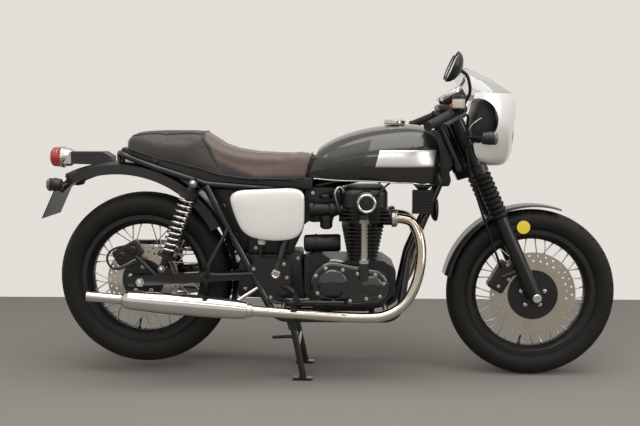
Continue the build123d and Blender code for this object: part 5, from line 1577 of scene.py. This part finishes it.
hoseSettings = {
    # name: finish, body, radius (mm), line (mm)
    "rearBrakeHose": ("gripRubber", "frame", 4.2,
        [(-60, -86, 500), (-112, -88, 494), (-138, -88, 448), (-106, -88, 404), (-40, -90, 432),
        (12, -92, 452)]),
    "potHose": ("gripRubber", "frame", 4.5,
        [(452, -112, 514), (448, -114, 466), (430, -116, 430), (400, -118, 420)]),
    "fuelHose": ("gripRubber", "frame", 4.5,
        [(700, -84, 700), (716, -102, 716), (734, -104, 700), (738, -96, 660)]),
    "cowlStayRight": ("alloy", "steering", 2.4,
        [(1250, -122, 976), (1221, -122, 960), (1199, -121, 926), (1197, -120, 892)]),
    "cowlStayLeft": ("alloy", "steering", 2.4,
        [(1250, 122, 976), (1221, 122, 960), (1199, 121, 926), (1197, 120, 892)]),
    "throttleCables": ("alloy", "steering", 1.8,
        [(1234, -96, 1062), (1216, -98, 1034), (1192, -100, 996)]),
}
for name, (label, body, radius, line) in hoseSettings.items():
    dress(tubePiece(name, [at(*point) for point in line], radius / 1000, 3), label, body, 60)
print("small parts fitted")

# floor, lamps and camera

stageSettings = {"backY": 1.35, "frontY": -7.0, "width": 14.0, "floorColour": (0.25, 0.235, 0.21, 1),
    "airColour": (1.0, 0.97, 0.92, 1), "airLight": 0.18, "paleColour": (0.77, 0.74, 0.69, 1)}


def makeStage():
    s = stageSettings
    floor = startPiece(bpy.ops.mesh.primitive_plane_add, "studioFloor", size=1, location=(0, 0, 0))
    openEdit(floor, "VERT")
    pickAll()
    bpy.ops.transform.resize(value=(s["width"], s["backY"] - s["frontY"], 1))
    bpy.ops.transform.translate(value=(0, (s["backY"] + s["frontY"]) / 2, 0))
    closeEdit()
    material = startFinish(floor.name, Base_Color=s["floorColour"], Roughness=0.9)[0]
    floor.data.materials.append(material)


studioLamps = {
    "overhead": {"at": (0.2, -0.6, 3.4), "aim": (0.1, 0.0, 0.5), "size": (4.5, 2.6), "power": 100},
    "front": {"at": (-1.6, -4.4, 2.4), "aim": (0.0, 0.0, 0.6), "size": (3.0, 2.2), "power": 104,
        "mirrored": False},
    "strip": {"at": (-0.6, -3.6, 2.9), "aim": (0.1, 0.0, 0.6), "size": (3.4, 0.3), "power": 16},
    "nose": {"at": (3.4, -2.2, 2.0), "aim": (0.4, 0.0, 0.6), "size": (1.6, 2.2), "power": 40},
}


def makeLamps():
    for name, s in studioLamps.items():
        lamp = startPiece(bpy.ops.object.light_add, name, type="AREA", location=s["at"])
        lamp.data.shape = "RECTANGLE"
        lamp.data.size, lamp.data.size_y = s["size"]
        lamp.data.energy = s["power"]
        lamp.visible_glossy = s.get("mirrored", True)
        lamp.rotation_euler = (Vector(s["aim"]) - Vector(s["at"])).to_track_quat("-Z", "Y").to_euler()
    world = bpy.data.worlds.new("studioAir")
    bpy.context.scene.world = world
    world.use_nodes = True
    tree = world.node_tree
    air = tree.nodes["Background"]
    air.inputs[0].default_value = stageSettings["airColour"]
    air.inputs[1].default_value = stageSettings["airLight"]
    pale = addNode(tree, "ShaderNodeBackground", {0: stageSettings["paleColour"], 1: 1.0})
    ray = addNode(tree, "ShaderNodeLightPath")
    seen = calc("MAXIMUM", ray.outputs["Is Camera Ray"], ray.outputs["Is Glossy Ray"])
    seen = calc("MAXIMUM", seen, ray.outputs["Is Transmission Ray"])
    either = addNode(tree, "ShaderNodeMixShader", {0: seen, 1: air.outputs[0], 2: pale.outputs[0]})
    tree.links.new(either.outputs[0], tree.nodes["World Output"].inputs[0])


cameraSettings = {"at": (0.0329, -3.2428, 0.976), "pitch": 6.319, "yaw": 1.35, "focal": 857.3,
    "imageWidth": 640, "sensor": 36}


def makeCamera():
    s = cameraSettings
    camera = startPiece(bpy.ops.object.camera_add, "photoCamera", location=s["at"])
    camera.rotation_euler = (math.radians(90 - s["pitch"]), 0, math.radians(s["yaw"]))
    camera.data.sensor_fit = "HORIZONTAL"
    camera.data.sensor_width = s["sensor"]
    camera.data.lens = s["focal"] / s["imageWidth"] * s["sensor"]
    bpy.context.scene.camera = camera


makeStage()
makeLamps()
makeCamera()
bpy.context.scene.view_settings.view_transform = "Standard"
print("stage, lamps and camera set")
